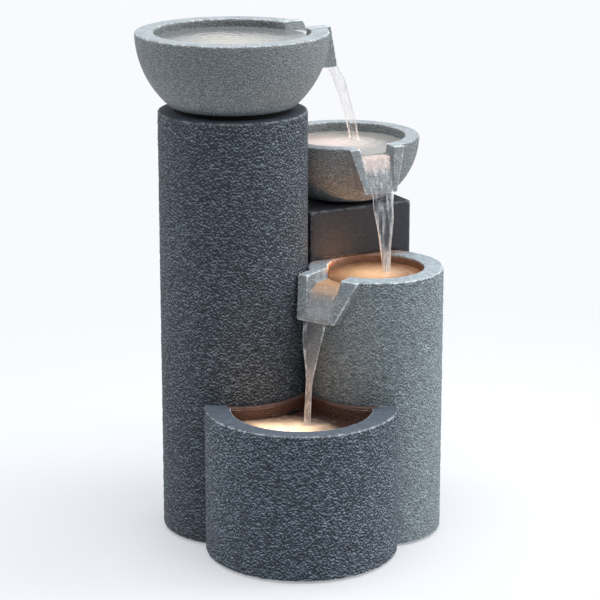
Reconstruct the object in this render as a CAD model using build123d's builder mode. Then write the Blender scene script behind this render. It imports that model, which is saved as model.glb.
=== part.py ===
"""Tabletop water fountain: two columns and a pedestal behind a front reservoir, two spouted bowls,
a spouted basin, a submerged pump with its riser hose, and four underwater lamps."""
import os
from math import asin, atan2, cos, degrees, radians, sin, sqrt

from build123d import *

os.makedirs("parts", exist_ok=True)

# Overall standing height of the castings above the table, and the glue line between castings
stand_height = 1.5
bond_gap = 0.3
running_gap = 0.05
slip_gap = 0.2
edge_round = 1.5

# Tall column
column_radius = 59.2
column_height = 345.0
column_wall = 7.0
column_top_plate = 8.0
column_mouth_radius = 34.0

# Reservoir in front of the columns
reservoir_radius = 76.5
reservoir_height = 119.7
reservoir_opening_radius = 55.4
reservoir_opening_shift = 8.4
reservoir_floor_top = 10.0
reservoir_bearing = -46.94
reservoir_setback = 20.04
reservoir_distance = column_radius + reservoir_setback
liner_wall = 4.7
cusp_trim = 8.0

# Basin column on the right
basin_column_radius = 54.05
basin_column_height = 219.7
basin_column_bearing = -2.92
basin_column_wall = 6.0
basin_radius = 38.3
basin_depth = 50.0

# Pedestal block behind the basin column
pedestal_yaw = 28.0
pedestal_width = 93.0
pedestal_depth = 80.0
pedestal_top = 260.3
pedestal_wall = 6.0
pedestal_top_plate = 8.0
pedestal_mouth_radius = 22.0
pedestal_overhang = 3.0
pedestal_sideways = 6.5
pedestal_edge_round = 2.0

# Bowls
top_bowl_radius = 76.2
top_bowl_opening = 61.2
top_bowl_height = 58.0
top_bowl_depth = 42.0
top_bowl_floor_radius = 40.0
top_seat_thickness = 4.0
top_seat_outer = 46.0
top_seat_inner = 37.0
middle_bowl_radius = 60.9
middle_bowl_opening = 49.0
middle_bowl_height = 48.5
middle_bowl_depth = 32.5
middle_bowl_floor_radius = 32.0
middle_bowl_sideways = 12.8
middle_seat_thickness = 3.0
middle_seat_outer = 34.0
middle_seat_inner = 25.0
basin_floor_thickness = 8.0

# Spouts
spout_half_top = 24.0
spout_half_bottom = 14.0
spout_underside = 35.0
spout_lip_drop = 33.0
channel_half_top = 15.0
channel_half_lip = 10.5
channel_overcut = 6.0
weir_depth = 9.0
spout_top_overhang = 1.0
top_spout_bearing = 34.0
top_spout_lip = 91.0
top_spill_drop = 5.0
middle_spout_bearing = -66.0
middle_spout_lip = 70.0
middle_spill_drop = 8.0
basin_spout_bearing = -122.0
basin_spout_lip = 64.0
basin_spill_drop = 4.0
basin_spout_sideways = -15.0
basin_spout_wide_cheek = 31.0
basin_spout_column_foot = 20.0

# Lamps
lamp_radius = 13.0
lamp_height = 9.0
lamp_base = 2.0
lamp_wall = 1.5
lens_ledge = 1.0
lens_thickness = 3.0
lens_dome = 1.0
board_thickness = 1.6
chip_side = 3.0
chip_height = 0.8
chip_ring = 5.5
chip_count = 6
lamp_gasket = 1.5
lamp_stem_radius = 5.0
lamp_stem_below_floor = 12.0
lamp_nut_height = 6.0
lamp_nut_radius = 9.0
top_lamp_bearing = -90.0
top_lamp_distance = 18.0
reservoir_lamp_x = -12.0
reservoir_lamp_y = -49.0
lamp_boss_width = 6.0
lamp_boss_reach = 4.0

# Riser hose and what it joins
hose_bearing = -42.0
hose_reach = 38.8
hose_run = column_radius + hose_reach
hose_riser = -18.0
pass_through_depth = 23.7
hose_level = reservoir_height - pass_through_depth
hose_bend = 30.0
hose_bore = 4.0
hose_wall = 1.5
hose_grip = 13.5
barb_bore = 3.0
clip_length = 5.0
clip_wall = 1.2
grommet_radius = 12.5
grommet_flange = 1.8
grommet_flange_step = 2.5
inlet_flange_radius = 11.0
inlet_flange_height = 4.0
inlet_stem_radius = 7.0
inlet_nozzle_height = 10.0
inlet_nut_radius = 11.0
inlet_nut_height = 6.0
inlet_washer = 1.5

# Leads and wiring
lead_radius = 1.5
lead_bend = 9.0
lead_wide_bend = 25.0
lead_side = 7.9
lead_drop = 3.0
lead_fall_distance = 8.0
pump_lead_turn = 85.0
lead_floor_gap = 0.7
port_level = 26.0
port_bush_radius = 5.0
junction_radius = 23.0
junction_height = 34.5
junction_socket = 6.0
supply_socket_radius = 3.0

# Pump
pump_outlet_offset = 12.0
pump_axis_level = 34.0
volute_radius = 17.0
volute_length = 16.0
volute_front_wall = 2.3
volute_flange = 3.0
chamber_radius = 12.5
intake_radius = 7.5
spider_width = 1.6
spider_count = 3
pump_gasket_thickness = 0.6
motor_length = 19.0
motor_width = 26.0
motor_height = 28.0
motor_round = 2.5
rotor_well_radius = 8.2
rotor_well_depth = 16.5
shaft_radius = 1.0
bush_radius = 2.9
bush_length = 2.3
impeller_radius = 11.0
impeller_hub = 3.0
vane_count = 6
vane_width = 1.2
vane_length = 7.0
impeller_shroud = 1.5
impeller_front_gap = 1.2
magnet_radius = 7.6
magnet_length = 12.4
outlet_outer = 4.9
barb_length = 14.5
barb_shoulder = 17.5
volute_screw_y = 10.4
volute_screw_z = 11.4
volute_screw_radius = 1.1
volute_screw_bite = 7.0
volute_head_radius = 2.0
volute_head_height = 1.4
cover_wall = 1.4
cover_overlap = 3.0
cover_reach = 12.0
cover_front_wall = 1.8
cover_slot_width = 2.2
cover_slot_count = 12
cover_slot_inner = 5.0
cover_slot_outer = 14.5
dial_radius = 12.0
dial_thickness = 1.8
dial_pin_radius = 2.0
dial_pin_head = 3.2
dial_pin_head_length = 1.4
dial_window_inner = 5.0
dial_window_outer = 10.0
dial_tab_width = 3.0
dial_tab_height = 4.0
cup_spacing_x = 10.0
cup_spacing_y = 15.0
cup_lip_radius = 4.4
cup_neck_radius = 2.2

# Rear service door and cord gland
door_bearing = 120.0
door_level = 175.0
door_width = 48.0
door_height = 98.0
door_gap = 0.4
door_thickness = 3.3
door_gasket_thickness = 1.0
door_ledge = 7.0
door_screw_radius = 1.5
door_head_radius = 2.6
door_head_height = 1.6
door_screw_bite = 8.0
door_boss_radius = 4.0
door_boss_depth = 7.0
gland_level = 25.0
gland_bore = 3.0
gland_stem_radius = 5.0
gland_head_radius = 8.5
gland_head_length = 9.0
gland_nut_length = 5.0
gland_nut_radius = 8.0

# Bottom covers, screws, feet
cover_plate = 3.0
cover_gap = 0.4
cover_boss_radius = 5.0
cover_boss_height = 16.0
cover_boss_bite = 1.0
cover_screw_radius = 1.5
cover_screw_bite = 9.0
cover_head_radius = 2.8
cover_head_height = 1.6
foot_radius = 7.0
foot_height = 2.5


def polar(bearing, distance):
    """Plan offset at a compass angle counted from +X toward +Y."""
    return Vector(distance * cos(radians(bearing)), distance * sin(radians(bearing)))


# Plan layout measured from the tall column, then moved so the origin is under the middle of the box
pedestal_along = polar(pedestal_yaw, 1.0)
pedestal_out = polar(pedestal_yaw - 90.0, 1.0)
reservoir_plan = polar(reservoir_bearing, reservoir_distance)
basin_plan = polar(basin_column_bearing, column_radius + basin_column_radius + bond_gap)
pedestal_front = basin_radius - pedestal_overhang
pedestal_plan = (
    basin_plan
    + pedestal_along * pedestal_sideways
    - pedestal_out * (pedestal_front + pedestal_depth / 2)
)
middle_plan = (
    basin_plan
    + pedestal_along * middle_bowl_sideways
    - pedestal_out * (pedestal_front + pedestal_depth / 2)
)
middle_plan_x = (-top_bowl_radius + basin_plan.X + basin_column_radius) / 2
middle_plan_y = (reservoir_plan.Y - reservoir_radius + middle_plan.Y + middle_bowl_radius) / 2
column_axis = Vector(-middle_plan_x, -middle_plan_y)
reservoir_axis = column_axis + reservoir_plan
basin_axis = column_axis + basin_plan
pedestal_axis = column_axis + pedestal_plan
middle_axis = column_axis + middle_plan

# Levels
cover_under = foot_height
cover_top = cover_under + cover_plate
top_bowl_under = column_height + top_seat_thickness
top_rim = top_bowl_under + top_bowl_height
middle_bowl_under = pedestal_top + middle_seat_thickness
middle_rim = middle_bowl_under + middle_bowl_height
top_floor = top_rim - top_bowl_depth
middle_floor = middle_rim - middle_bowl_depth
basin_floor = basin_column_height - basin_depth
basin_under = basin_floor - basin_floor_thickness
pedestal_split = basin_column_height + bond_gap

# Derived radii and reaches
column_inner = column_radius - column_wall
basin_column_inner = basin_column_radius - basin_column_wall
liner_radius = column_radius + bond_gap + liner_wall
basin_liner_radius = basin_column_radius + bond_gap + liner_wall
hose_outer = hose_bore + hose_wall
barb_radius = hose_bore - running_gap
lead_level = hose_level - lead_drop
lead_rise_distance = liner_radius + grommet_flange + lead_bend + 2 * slip_gap
junction_top = cover_top + junction_height
far = 4 * column_height


def level(centre, z=0.0):
    """Horizontal plane at a plan point."""
    return Plane(origin=(centre.X, centre.Y, z))


def upright(centre, z=0.0):
    """Vertical plane through a plan point, x to the right and y up, for turned profiles."""
    return Plane(origin=(centre.X, centre.Y, z), x_dir=(1, 0, 0), z_dir=(0, -1, 0))


def facing(centre, bearing, z, distance=0.0):
    """Vertical plane whose normal points out at a bearing, x sideways and y up."""
    out = polar(bearing, 1.0)
    spot = centre + out * distance
    return Plane(origin=(spot.X, spot.Y, z), x_dir=(-out.Y, out.X, 0), z_dir=(out.X, out.Y, 0))


def flank(centre, bearing, z):
    """Vertical plane along a bearing, x outward and y up."""
    out = polar(bearing, 1.0)
    return Plane(origin=(centre.X, centre.Y, z), x_dir=(out.X, out.Y, 0), z_dir=(out.Y, -out.X, 0))


def turned_axis(centre):
    return Axis((centre.X, centre.Y, 0), (0, 0, 1))


def disc(plane, radius, length):
    """Round bar standing on a plane."""
    with BuildPart() as bar:
        with BuildSketch(plane):
            Circle(radius)
        extrude(amount=length)
    return bar.part


def ring(plane, outer, inner, length):
    """Round tube standing on a plane."""
    with BuildPart() as tube:
        with BuildSketch(plane):
            Circle(outer)
            Circle(inner, mode=Mode.SUBTRACT)
        extrude(amount=length)
    return tube.part


def hex_nut(plane, radius, bore, length):
    with BuildPart() as nut:
        with BuildSketch(plane):
            RegularPolygon(radius, 6)
            Circle(bore, mode=Mode.SUBTRACT)
        extrude(amount=length)
    return nut.part


def slab(plane, width, height, length):
    """Rectangular bar standing on a plane."""
    with BuildPart() as bar:
        with BuildSketch(plane):
            Rectangle(width, height)
        extrude(amount=length)
    return bar.part


def cord(points, bend, radius):
    """Round cord along straight runs joined by arcs."""
    with BuildPart() as run:
        with BuildLine() as route:
            FilletPolyline(*points, radius=bend)
        with BuildSketch(Plane(origin=route.line @ 0, z_dir=route.line % 0)):
            Circle(radius)
        sweep(path=route.line)
    return run.part


def raised(spot, z):
    return Vector(spot.X, spot.Y, z)


# Spouts: a beak that stands out from the wall and a channel cut through it
def spout_origin(centre, bearing, sideways):
    return centre + polar(bearing + 90.0, sideways)


def spout_beak(
    centre,
    bearing,
    rim,
    rim_radius,
    lip,
    sideways=0.0,
    wide_half=spout_half_top,
    foot_half=spout_half_bottom,
):
    start = spout_origin(centre, bearing, sideways)
    with BuildPart() as beak:
        with BuildSketch(flank(start, bearing, rim)):
            Polygon(
                (0, 0),
                (0, -spout_underside),
                (lip, -spout_underside),
                (rim_radius + spout_top_overhang, 0),
            )
        extrude(amount=wide_half, both=True)
        with BuildSketch(facing(start, bearing, rim)):
            Polygon(
                (-spout_half_top, 0),
                (-foot_half, -spout_underside),
                (spout_half_bottom, -spout_underside),
                (wide_half, 0),
            )
        extrude(amount=2 * lip, mode=Mode.INTERSECT)
    return beak.part


def spout_channel(centre, bearing, rim, weir, lip, spill_drop, sideways=0.0):
    """Channel floor: level to the weir, a gentle spill, then a steep ramp to the lip."""
    start = spout_origin(centre, bearing, sideways)
    flare = (channel_half_top - channel_half_lip) / spout_lip_drop
    half_above = channel_half_top + flare * channel_overcut
    half_below = channel_half_lip - flare * channel_overcut
    with BuildPart() as channel:
        with BuildSketch(flank(start, bearing, rim)):
            Polygon(
                (weir / 3, channel_overcut),
                (weir / 3, -weir_depth),
                (weir, -weir_depth),
                ((weir + lip) / 2, -weir_depth - spill_drop),
                (lip, -spout_lip_drop),
                (2 * lip, -spout_lip_drop),
                (2 * lip, channel_overcut),
            )
        extrude(amount=half_above, both=True)
        with BuildSketch(facing(start, bearing, rim)):
            Polygon(
                (-half_above, channel_overcut),
                (-half_below, -spout_lip_drop - channel_overcut),
                (half_below, -spout_lip_drop - channel_overcut),
                (half_above, channel_overcut),
            )
        extrude(amount=2 * lip, mode=Mode.INTERSECT)
    return channel.part


def bowl_cavity(centre, rim, opening, depth, floor_radius):
    """Inside of a bowl: rounded mouth, curved wall, flat floor."""
    bulge_x = (opening + floor_radius) / 2 + 0.16 * depth
    bulge_y = -depth * 0.56
    with BuildPart() as cavity:
        with BuildSketch(upright(centre, rim)):
            with BuildLine():
                Line((0, 0), (opening + edge_round, 0))
                CenterArc((opening + edge_round, -edge_round), edge_round, 90, 90)
                ThreePointArc((opening, -edge_round), (bulge_x, bulge_y), (floor_radius, -depth))
                Line((floor_radius, -depth), (0, -depth))
                Line((0, -depth), (0, 0))
            make_face()
        revolve(axis=turned_axis(centre))
    return cavity.part


def bowl_blank(centre, rim, radius, height):
    """Outside of a bowl: part of a ball standing on a flat foot."""
    foot = sqrt(radius**2 - height**2)
    sweep_angle = degrees(asin(height / radius))
    with BuildPart() as blank:
        with BuildSketch(upright(centre, rim)):
            with BuildLine():
                Line((0, -height), (foot, -height))
                CenterArc((0, 0), radius, -sweep_angle, sweep_angle)
                Line((radius, 0), (0, 0))
                Line((0, 0), (0, -height))
            make_face()
        revolve(axis=turned_axis(centre))
        fillet(blank.edges().group_by(Axis.Z)[-1], radius=edge_round)
    return blank.part


# Tall column: hollow casting with an open mouth under the top bowl
door_plane = facing(column_axis, door_bearing, door_level)
gland_plane = facing(column_axis, door_bearing, gland_level)
grommet_plane = facing(column_axis, hose_bearing, hose_level)
ledge_radius = column_radius - door_thickness - door_gasket_thickness
door_inner_width = door_width - 2 * door_ledge
door_inner_height = door_height - 2 * door_ledge
door_screw_spots = [
    (0, door_height / 2 - door_ledge / 2),
    (0, door_ledge / 2 - door_height / 2),
]
gland_seat = sqrt(column_radius**2 - gland_head_radius**2) - slip_gap
middle_port_bearing = degrees(atan2(middle_plan.Y, middle_plan.X))
column_boss_bearings = (80.0, 200.0, 290.0)
column_boss_ring = column_inner - cover_boss_radius + cover_boss_bite

with BuildPart() as door_recess:
    with BuildSketch(door_plane):
        Rectangle(door_width, door_height)
    extrude(amount=2 * column_radius)
    add(disc(level(column_axis), ledge_radius, far), mode=Mode.SUBTRACT)

with BuildPart() as tall_column:
    with BuildSketch(level(column_axis, stand_height)):
        Circle(column_radius)
    extrude(amount=column_height - stand_height)
    fillet(tall_column.edges().group_by(Axis.Z)[-1], radius=edge_round)
    with BuildSketch(level(column_axis, stand_height)):
        Circle(column_inner)
    extrude(amount=column_height - column_top_plate - stand_height, mode=Mode.SUBTRACT)
    add(disc(level(column_axis), column_mouth_radius, far), mode=Mode.SUBTRACT)
    with BuildSketch(level(column_axis, cover_top)):
        for bearing in column_boss_bearings:
            with Locations(polar(bearing, column_boss_ring)):
                Circle(cover_boss_radius)
    extrude(amount=cover_boss_height)
    for spot in door_screw_spots:
        with BuildSketch(door_plane.offset(column_inner - door_boss_depth)):
            with Locations(spot):
                Circle(door_boss_radius)
        extrude(amount=door_boss_depth + column_wall / 2)
    add(door_recess.part, mode=Mode.SUBTRACT)
    with BuildSketch(door_plane):
        Rectangle(door_inner_width, door_inner_height)
    extrude(amount=2 * column_radius, mode=Mode.SUBTRACT)
    with BuildSketch(door_plane):
        with Locations(*door_screw_spots):
            Circle(door_screw_radius + running_gap)
    extrude(amount=2 * column_radius, mode=Mode.SUBTRACT)
    with BuildSketch(level(column_axis, cover_top)):
        for bearing in column_boss_bearings:
            with Locations(polar(bearing, column_boss_ring)):
                Circle(cover_screw_radius + running_gap)
    extrude(amount=cover_screw_bite + slip_gap, mode=Mode.SUBTRACT)
    with BuildSketch(grommet_plane):
        Circle(grommet_radius + slip_gap)
    extrude(amount=2 * column_radius, mode=Mode.SUBTRACT)
    with BuildSketch(gland_plane):
        Circle(gland_stem_radius + slip_gap)
    extrude(amount=2 * column_radius, mode=Mode.SUBTRACT)
    with BuildSketch(gland_plane.offset(gland_seat)):
        Circle(gland_head_radius + slip_gap)
    extrude(amount=column_radius, mode=Mode.SUBTRACT)
    for bearing in (basin_column_bearing, middle_port_bearing):
        with BuildSketch(facing(column_axis, bearing, port_level)):
            Circle(port_bush_radius + slip_gap)
        extrude(amount=2 * column_radius, mode=Mode.SUBTRACT)
tall_column.part.label = "tall_column"
export_step(tall_column.part, "parts/tall_column.step")

# Reservoir: round tub whose back wall follows both columns
between = (column_axis + basin_axis) * 0.5
opening_axis = reservoir_axis - Vector(0, reservoir_opening_shift)
reservoir_feet = [
    polar(bearing, reservoir_radius - 2.5 * foot_radius) for bearing in (205.0, 270.0, 335.0)
]

with BuildPart() as reservoir_basin:
    with BuildSketch(level(reservoir_axis, stand_height)):
        Circle(reservoir_radius)
    extrude(amount=reservoir_height - stand_height)
    fillet(reservoir_basin.edges().group_by(Axis.Z)[-1], radius=edge_round)
    with BuildSketch(level(opening_axis, reservoir_floor_top)):
        Circle(reservoir_opening_radius)
        with Locations(column_axis - opening_axis):
            Circle(liner_radius, mode=Mode.SUBTRACT)
        with Locations(basin_axis - opening_axis):
            Circle(basin_liner_radius, mode=Mode.SUBTRACT)
    extrude(amount=reservoir_height, mode=Mode.SUBTRACT)
    add(disc(level(column_axis), column_radius + bond_gap, far), mode=Mode.SUBTRACT)
    add(disc(level(basin_axis), basin_column_radius + bond_gap, far), mode=Mode.SUBTRACT)
    with BuildSketch(Plane(origin=(between.X, between.Y, 0), x_dir=basin_plan.normalized())):
        with Locations((0, -cusp_trim)):
            Rectangle(far, far, align=(Align.CENTER, Align.MIN))
    extrude(amount=far, mode=Mode.SUBTRACT)
    with BuildSketch(grommet_plane):
        Circle(grommet_radius + slip_gap)
    extrude(amount=2 * column_radius, mode=Mode.SUBTRACT)
    with BuildSketch(level(reservoir_axis, 0)):
        with Locations(*reservoir_feet):
            Circle(foot_radius + slip_gap)
    extrude(amount=foot_height, mode=Mode.SUBTRACT)
reservoir_basin.part.label = "reservoir_basin"
export_step(reservoir_basin.part, "parts/reservoir_basin.step")

# Basin column: hollow below, basin and spout at the top
basin_weir = (basin_radius + basin_column_radius) / 2 - channel_half_top / 5
basin_beak = spout_beak(
    basin_axis,
    basin_spout_bearing,
    basin_column_height,
    basin_column_radius,
    basin_spout_lip,
    basin_spout_sideways,
    basin_spout_wide_cheek,
    basin_spout_column_foot,
)
basin_channel = spout_channel(
    basin_axis,
    basin_spout_bearing,
    basin_column_height,
    basin_weir,
    basin_spout_lip,
    basin_spill_drop,
    basin_spout_sideways,
)
basin_boss_bearings = (55.0, 300.0)
basin_boss_ring = basin_column_inner - cover_boss_radius + cover_boss_bite

with BuildPart() as trimmed_beak:
    add(basin_beak)
    add(disc(level(column_axis), column_radius + bond_gap, far), mode=Mode.SUBTRACT)

with BuildPart() as basin_column:
    with BuildSketch(level(basin_axis, stand_height)):
        Circle(basin_column_radius)
    extrude(amount=basin_column_height - stand_height)
    fillet(basin_column.edges().group_by(Axis.Z)[-1], radius=edge_round)
    add(trimmed_beak.part)
    with BuildSketch(upright(basin_axis, basin_column_height)):
        with BuildLine():
            Line((0, 0), (basin_radius + edge_round, 0))
            CenterArc((basin_radius + edge_round, -edge_round), edge_round, 90, 90)
            Line((basin_radius, -edge_round), (basin_radius, -basin_depth))
            Line((basin_radius, -basin_depth), (0, -basin_depth))
            Line((0, -basin_depth), (0, 0))
        make_face()
    revolve(axis=turned_axis(basin_axis), mode=Mode.SUBTRACT)
    add(basin_channel, mode=Mode.SUBTRACT)
    with BuildSketch(level(basin_axis, stand_height)):
        Circle(basin_column_inner)
    extrude(amount=basin_under - stand_height, mode=Mode.SUBTRACT)
    with BuildSketch(level(basin_axis, cover_top)):
        for bearing in basin_boss_bearings:
            with Locations(polar(bearing, basin_boss_ring)):
                Circle(cover_boss_radius)
    extrude(amount=cover_boss_height)
    with BuildSketch(level(basin_axis, cover_top)):
        for bearing in basin_boss_bearings:
            with Locations(polar(bearing, basin_boss_ring)):
                Circle(cover_screw_radius + running_gap)
    extrude(amount=cover_screw_bite + slip_gap, mode=Mode.SUBTRACT)
    add(disc(level(basin_axis, basin_under), lamp_stem_radius + slip_gap, basin_depth), mode=Mode.SUBTRACT)
    with BuildSketch(facing(basin_axis, basin_column_bearing + 180.0, port_level)):
        Circle(port_bush_radius + slip_gap)
    extrude(amount=2 * basin_column_radius, mode=Mode.SUBTRACT)
basin_column.part.label = "basin_column"
export_step(basin_column.part, "parts/basin_column.step")

# Pedestal: hollow block that fits behind the basin column and against the tall column
pedestal_plane = Plane(
    origin=(pedestal_axis.X, pedestal_axis.Y, stand_height),
    x_dir=(pedestal_along.X, pedestal_along.Y, 0),
)
pedestal_cavity_top = pedestal_top - pedestal_top_plate


def pedestal_room(base, inset, length):
    """Inside of the pedestal, set in by a given amount from its outline."""
    with BuildPart() as room:
        with BuildSketch(base):
            Rectangle(pedestal_width - 2 * inset, pedestal_depth - 2 * inset)
        extrude(amount=length)
        add(disc(level(column_axis), column_radius + bond_gap + inset, far), mode=Mode.SUBTRACT)
        add(disc(level(basin_axis), basin_column_radius + bond_gap + inset, far), mode=Mode.SUBTRACT)
    return room.part


pedestal_boss_inset = pedestal_wall + cover_boss_radius - cover_boss_bite
pedestal_boss_spots = [
    (side * (pedestal_width / 2 - pedestal_boss_inset), pedestal_depth / 2 - pedestal_boss_inset)
    for side in (1, -1)
]
pedestal_boss_plane = pedestal_plane.offset(cover_top - stand_height)

with BuildPart() as bowl_pedestal:
    with BuildSketch(pedestal_plane):
        RectangleRounded(pedestal_width, pedestal_depth, pedestal_edge_round)
    extrude(amount=pedestal_top - stand_height)
    fillet(bowl_pedestal.edges().group_by(Axis.Z)[-1], radius=edge_round)
    add(disc(level(column_axis), column_radius + bond_gap, far), mode=Mode.SUBTRACT)
    add(disc(level(basin_axis), basin_column_radius + bond_gap, pedestal_split), mode=Mode.SUBTRACT)
    add(
        pedestal_room(pedestal_plane, pedestal_wall, pedestal_cavity_top - stand_height),
        mode=Mode.SUBTRACT,
    )
    add(disc(level(middle_axis, pedestal_cavity_top), pedestal_mouth_radius, far), mode=Mode.SUBTRACT)
    with BuildSketch(pedestal_boss_plane):
        with Locations(*pedestal_boss_spots):
            Circle(cover_boss_radius)
    extrude(amount=cover_boss_height)
    with BuildSketch(pedestal_boss_plane):
        with Locations(*pedestal_boss_spots):
            Circle(cover_screw_radius + running_gap)
    extrude(amount=cover_screw_bite + slip_gap, mode=Mode.SUBTRACT)
    with BuildSketch(facing(column_axis, middle_port_bearing, port_level)):
        Circle(port_bush_radius + slip_gap)
    extrude(amount=2 * column_radius - column_wall, mode=Mode.SUBTRACT)
bowl_pedestal.part.label = "bowl_pedestal"
export_step(bowl_pedestal.part, "parts/bowl_pedestal.step")

# Bowls with their spouts, hollowed underneath where the fittings pass through
top_spot_lamp = column_axis + polar(top_lamp_bearing, top_lamp_distance)
top_spot_inlet = column_axis + polar(hose_bearing, hose_riser)
top_recess_top = top_floor - basin_floor_thickness
middle_recess_top = middle_floor - basin_floor_thickness
top_beak = spout_beak(column_axis, top_spout_bearing, top_rim, top_bowl_radius, top_spout_lip)
top_channel = spout_channel(
    column_axis,
    top_spout_bearing,
    top_rim,
    (top_bowl_opening + top_bowl_radius) / 2,
    top_spout_lip,
    top_spill_drop,
)
middle_beak = spout_beak(
    middle_axis, middle_spout_bearing, middle_rim, middle_bowl_radius, middle_spout_lip
)
middle_channel = spout_channel(
    middle_axis,
    middle_spout_bearing,
    middle_rim,
    (middle_bowl_opening + middle_bowl_radius) / 2,
    middle_spout_lip,
    middle_spill_drop,
)

with BuildPart() as top_bowl:
    add(bowl_blank(column_axis, top_rim, top_bowl_radius, top_bowl_height))
    add(top_beak)
    add(
        bowl_cavity(column_axis, top_rim, top_bowl_opening, top_bowl_depth, top_bowl_floor_radius),
        mode=Mode.SUBTRACT,
    )
    add(top_channel, mode=Mode.SUBTRACT)
    with BuildSketch(level(column_axis, top_bowl_under)):
        Circle(column_mouth_radius)
    extrude(amount=top_recess_top - top_bowl_under, mode=Mode.SUBTRACT)
    add(disc(level(top_spot_lamp, top_bowl_under), lamp_stem_radius + slip_gap, far), mode=Mode.SUBTRACT)
    add(disc(level(top_spot_inlet, top_bowl_under), inlet_stem_radius + slip_gap, far), mode=Mode.SUBTRACT)
top_bowl.part.label = "top_bowl"
export_step(top_bowl.part, "parts/top_bowl.step")

with BuildPart() as middle_bowl:
    add(bowl_blank(middle_axis, middle_rim, middle_bowl_radius, middle_bowl_height))
    add(middle_beak)
    add(
        bowl_cavity(
            middle_axis, middle_rim, middle_bowl_opening, middle_bowl_depth, middle_bowl_floor_radius
        ),
        mode=Mode.SUBTRACT,
    )
    add(middle_channel, mode=Mode.SUBTRACT)
    with BuildSketch(level(middle_axis, middle_bowl_under)):
        Circle(pedestal_mouth_radius)
    extrude(amount=middle_recess_top - middle_bowl_under, mode=Mode.SUBTRACT)
    add(disc(level(middle_axis, middle_bowl_under), lamp_stem_radius + slip_gap, far), mode=Mode.SUBTRACT)
    add(disc(level(column_axis), column_radius + bond_gap, far), mode=Mode.SUBTRACT)
middle_bowl.part.label = "middle_bowl"
export_step(middle_bowl.part, "parts/middle_bowl.step")

# Soft seat rings under the bowls
with BuildPart() as top_bowl_seat:
    add(ring(level(column_axis, column_height), top_seat_outer, top_seat_inner, top_seat_thickness))
top_bowl_seat.part.label = "top_bowl_seat"
export_step(top_bowl_seat.part, "parts/top_bowl_seat.step")

with BuildPart() as middle_bowl_seat:
    add(ring(level(middle_axis, pedestal_top), middle_seat_outer, middle_seat_inner, middle_seat_thickness))
middle_bowl_seat.part.label = "middle_bowl_seat"
export_step(middle_bowl_seat.part, "parts/middle_bowl_seat.step")

# Bottom covers that close the hollow castings
column_foot_spots = [column_axis + polar(bearing, column_inner * 0.7) for bearing in (20.0, 140.0, 250.0)]
basin_foot_spots = [basin_axis + polar(bearing, basin_column_inner * 0.6) for bearing in (20.0, 250.0)]
pedestal_foot_spots = [
    pedestal_axis + pedestal_along * (side * pedestal_width / 4) - pedestal_out * (pedestal_depth / 5)
    for side in (-1, 1)
]
reservoir_foot_spots = [reservoir_axis + spot for spot in reservoir_feet]
column_screw_spots = [column_axis + polar(bearing, column_boss_ring) for bearing in column_boss_bearings]
basin_screw_spots = [basin_axis + polar(bearing, basin_boss_ring) for bearing in basin_boss_bearings]
pedestal_screw_spots = [
    pedestal_axis + pedestal_along * spot[0] - pedestal_out * spot[1] for spot in pedestal_boss_spots
]


def screw_recess(spots):
    """Stepped hole through a bottom cover for each of its screws."""
    with BuildPart() as recess:
        for spot in spots:
            add(disc(level(spot, cover_under), cover_head_radius + slip_gap, cover_head_height))
            add(disc(level(spot, cover_under), cover_screw_radius + slip_gap, cover_plate))
    return recess.part


with BuildPart() as column_cover:
    add(disc(level(column_axis, cover_under), column_inner - cover_gap, cover_plate))
    add(screw_recess(column_screw_spots), mode=Mode.SUBTRACT)
column_cover.part.label = "column_cover"
export_step(column_cover.part, "parts/column_cover.step")

with BuildPart() as basin_column_cover:
    add(disc(level(basin_axis, cover_under), basin_column_inner - cover_gap, cover_plate))
    add(screw_recess(basin_screw_spots), mode=Mode.SUBTRACT)
basin_column_cover.part.label = "basin_column_cover"
export_step(basin_column_cover.part, "parts/basin_column_cover.step")

with BuildPart() as pedestal_cover:
    add(
        pedestal_room(
            pedestal_plane.offset(cover_under - stand_height), pedestal_wall + cover_gap, cover_plate
        )
    )
    add(screw_recess(pedestal_screw_spots), mode=Mode.SUBTRACT)
pedestal_cover.part.label = "pedestal_cover"
export_step(pedestal_cover.part, "parts/pedestal_cover.step")

with BuildPart() as cover_screws:
    for spot in column_screw_spots + basin_screw_spots + pedestal_screw_spots:
        add(disc(level(spot, cover_under), cover_head_radius, cover_head_height))
        add(disc(level(spot, cover_under), cover_screw_radius, cover_plate + cover_screw_bite))
cover_screws.part.label = "cover_screws"
export_step(cover_screws.part, "parts/cover_screws.step")

with BuildPart() as rubber_feet:
    for spot in column_foot_spots + basin_foot_spots + pedestal_foot_spots + reservoir_foot_spots:
        add(disc(level(spot), foot_radius, foot_height))
rubber_feet.part.label = "rubber_feet"
export_step(rubber_feet.part, "parts/rubber_feet.step")

# Rear service door: curved panel on a gasket, held by two captive screws
gasket_outer_radius = ledge_radius + door_gasket_thickness
door_head_seat = column_radius - door_head_height


def door_layer(outer, inner, width, height):
    """Curved plate of the door between two radii."""
    with BuildPart() as layer:
        with BuildSketch(door_plane):
            Rectangle(width, height)
        extrude(amount=2 * column_radius)
        add(ring(level(column_axis), outer, inner, far), mode=Mode.INTERSECT)
    return layer.part


with BuildPart() as door_panel:
    add(
        door_layer(
            column_radius, gasket_outer_radius, door_width - 2 * door_gap, door_height - 2 * door_gap
        )
    )
    with BuildSketch(door_plane):
        with Locations(*door_screw_spots):
            Circle(door_screw_radius + slip_gap)
    extrude(amount=2 * column_radius, mode=Mode.SUBTRACT)
    with BuildSketch(door_plane.offset(door_head_seat)):
        with Locations(*door_screw_spots):
            Circle(door_head_radius + slip_gap)
    extrude(amount=column_radius, mode=Mode.SUBTRACT)
door_panel.part.label = "door_panel"
export_step(door_panel.part, "parts/door_panel.step")

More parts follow.
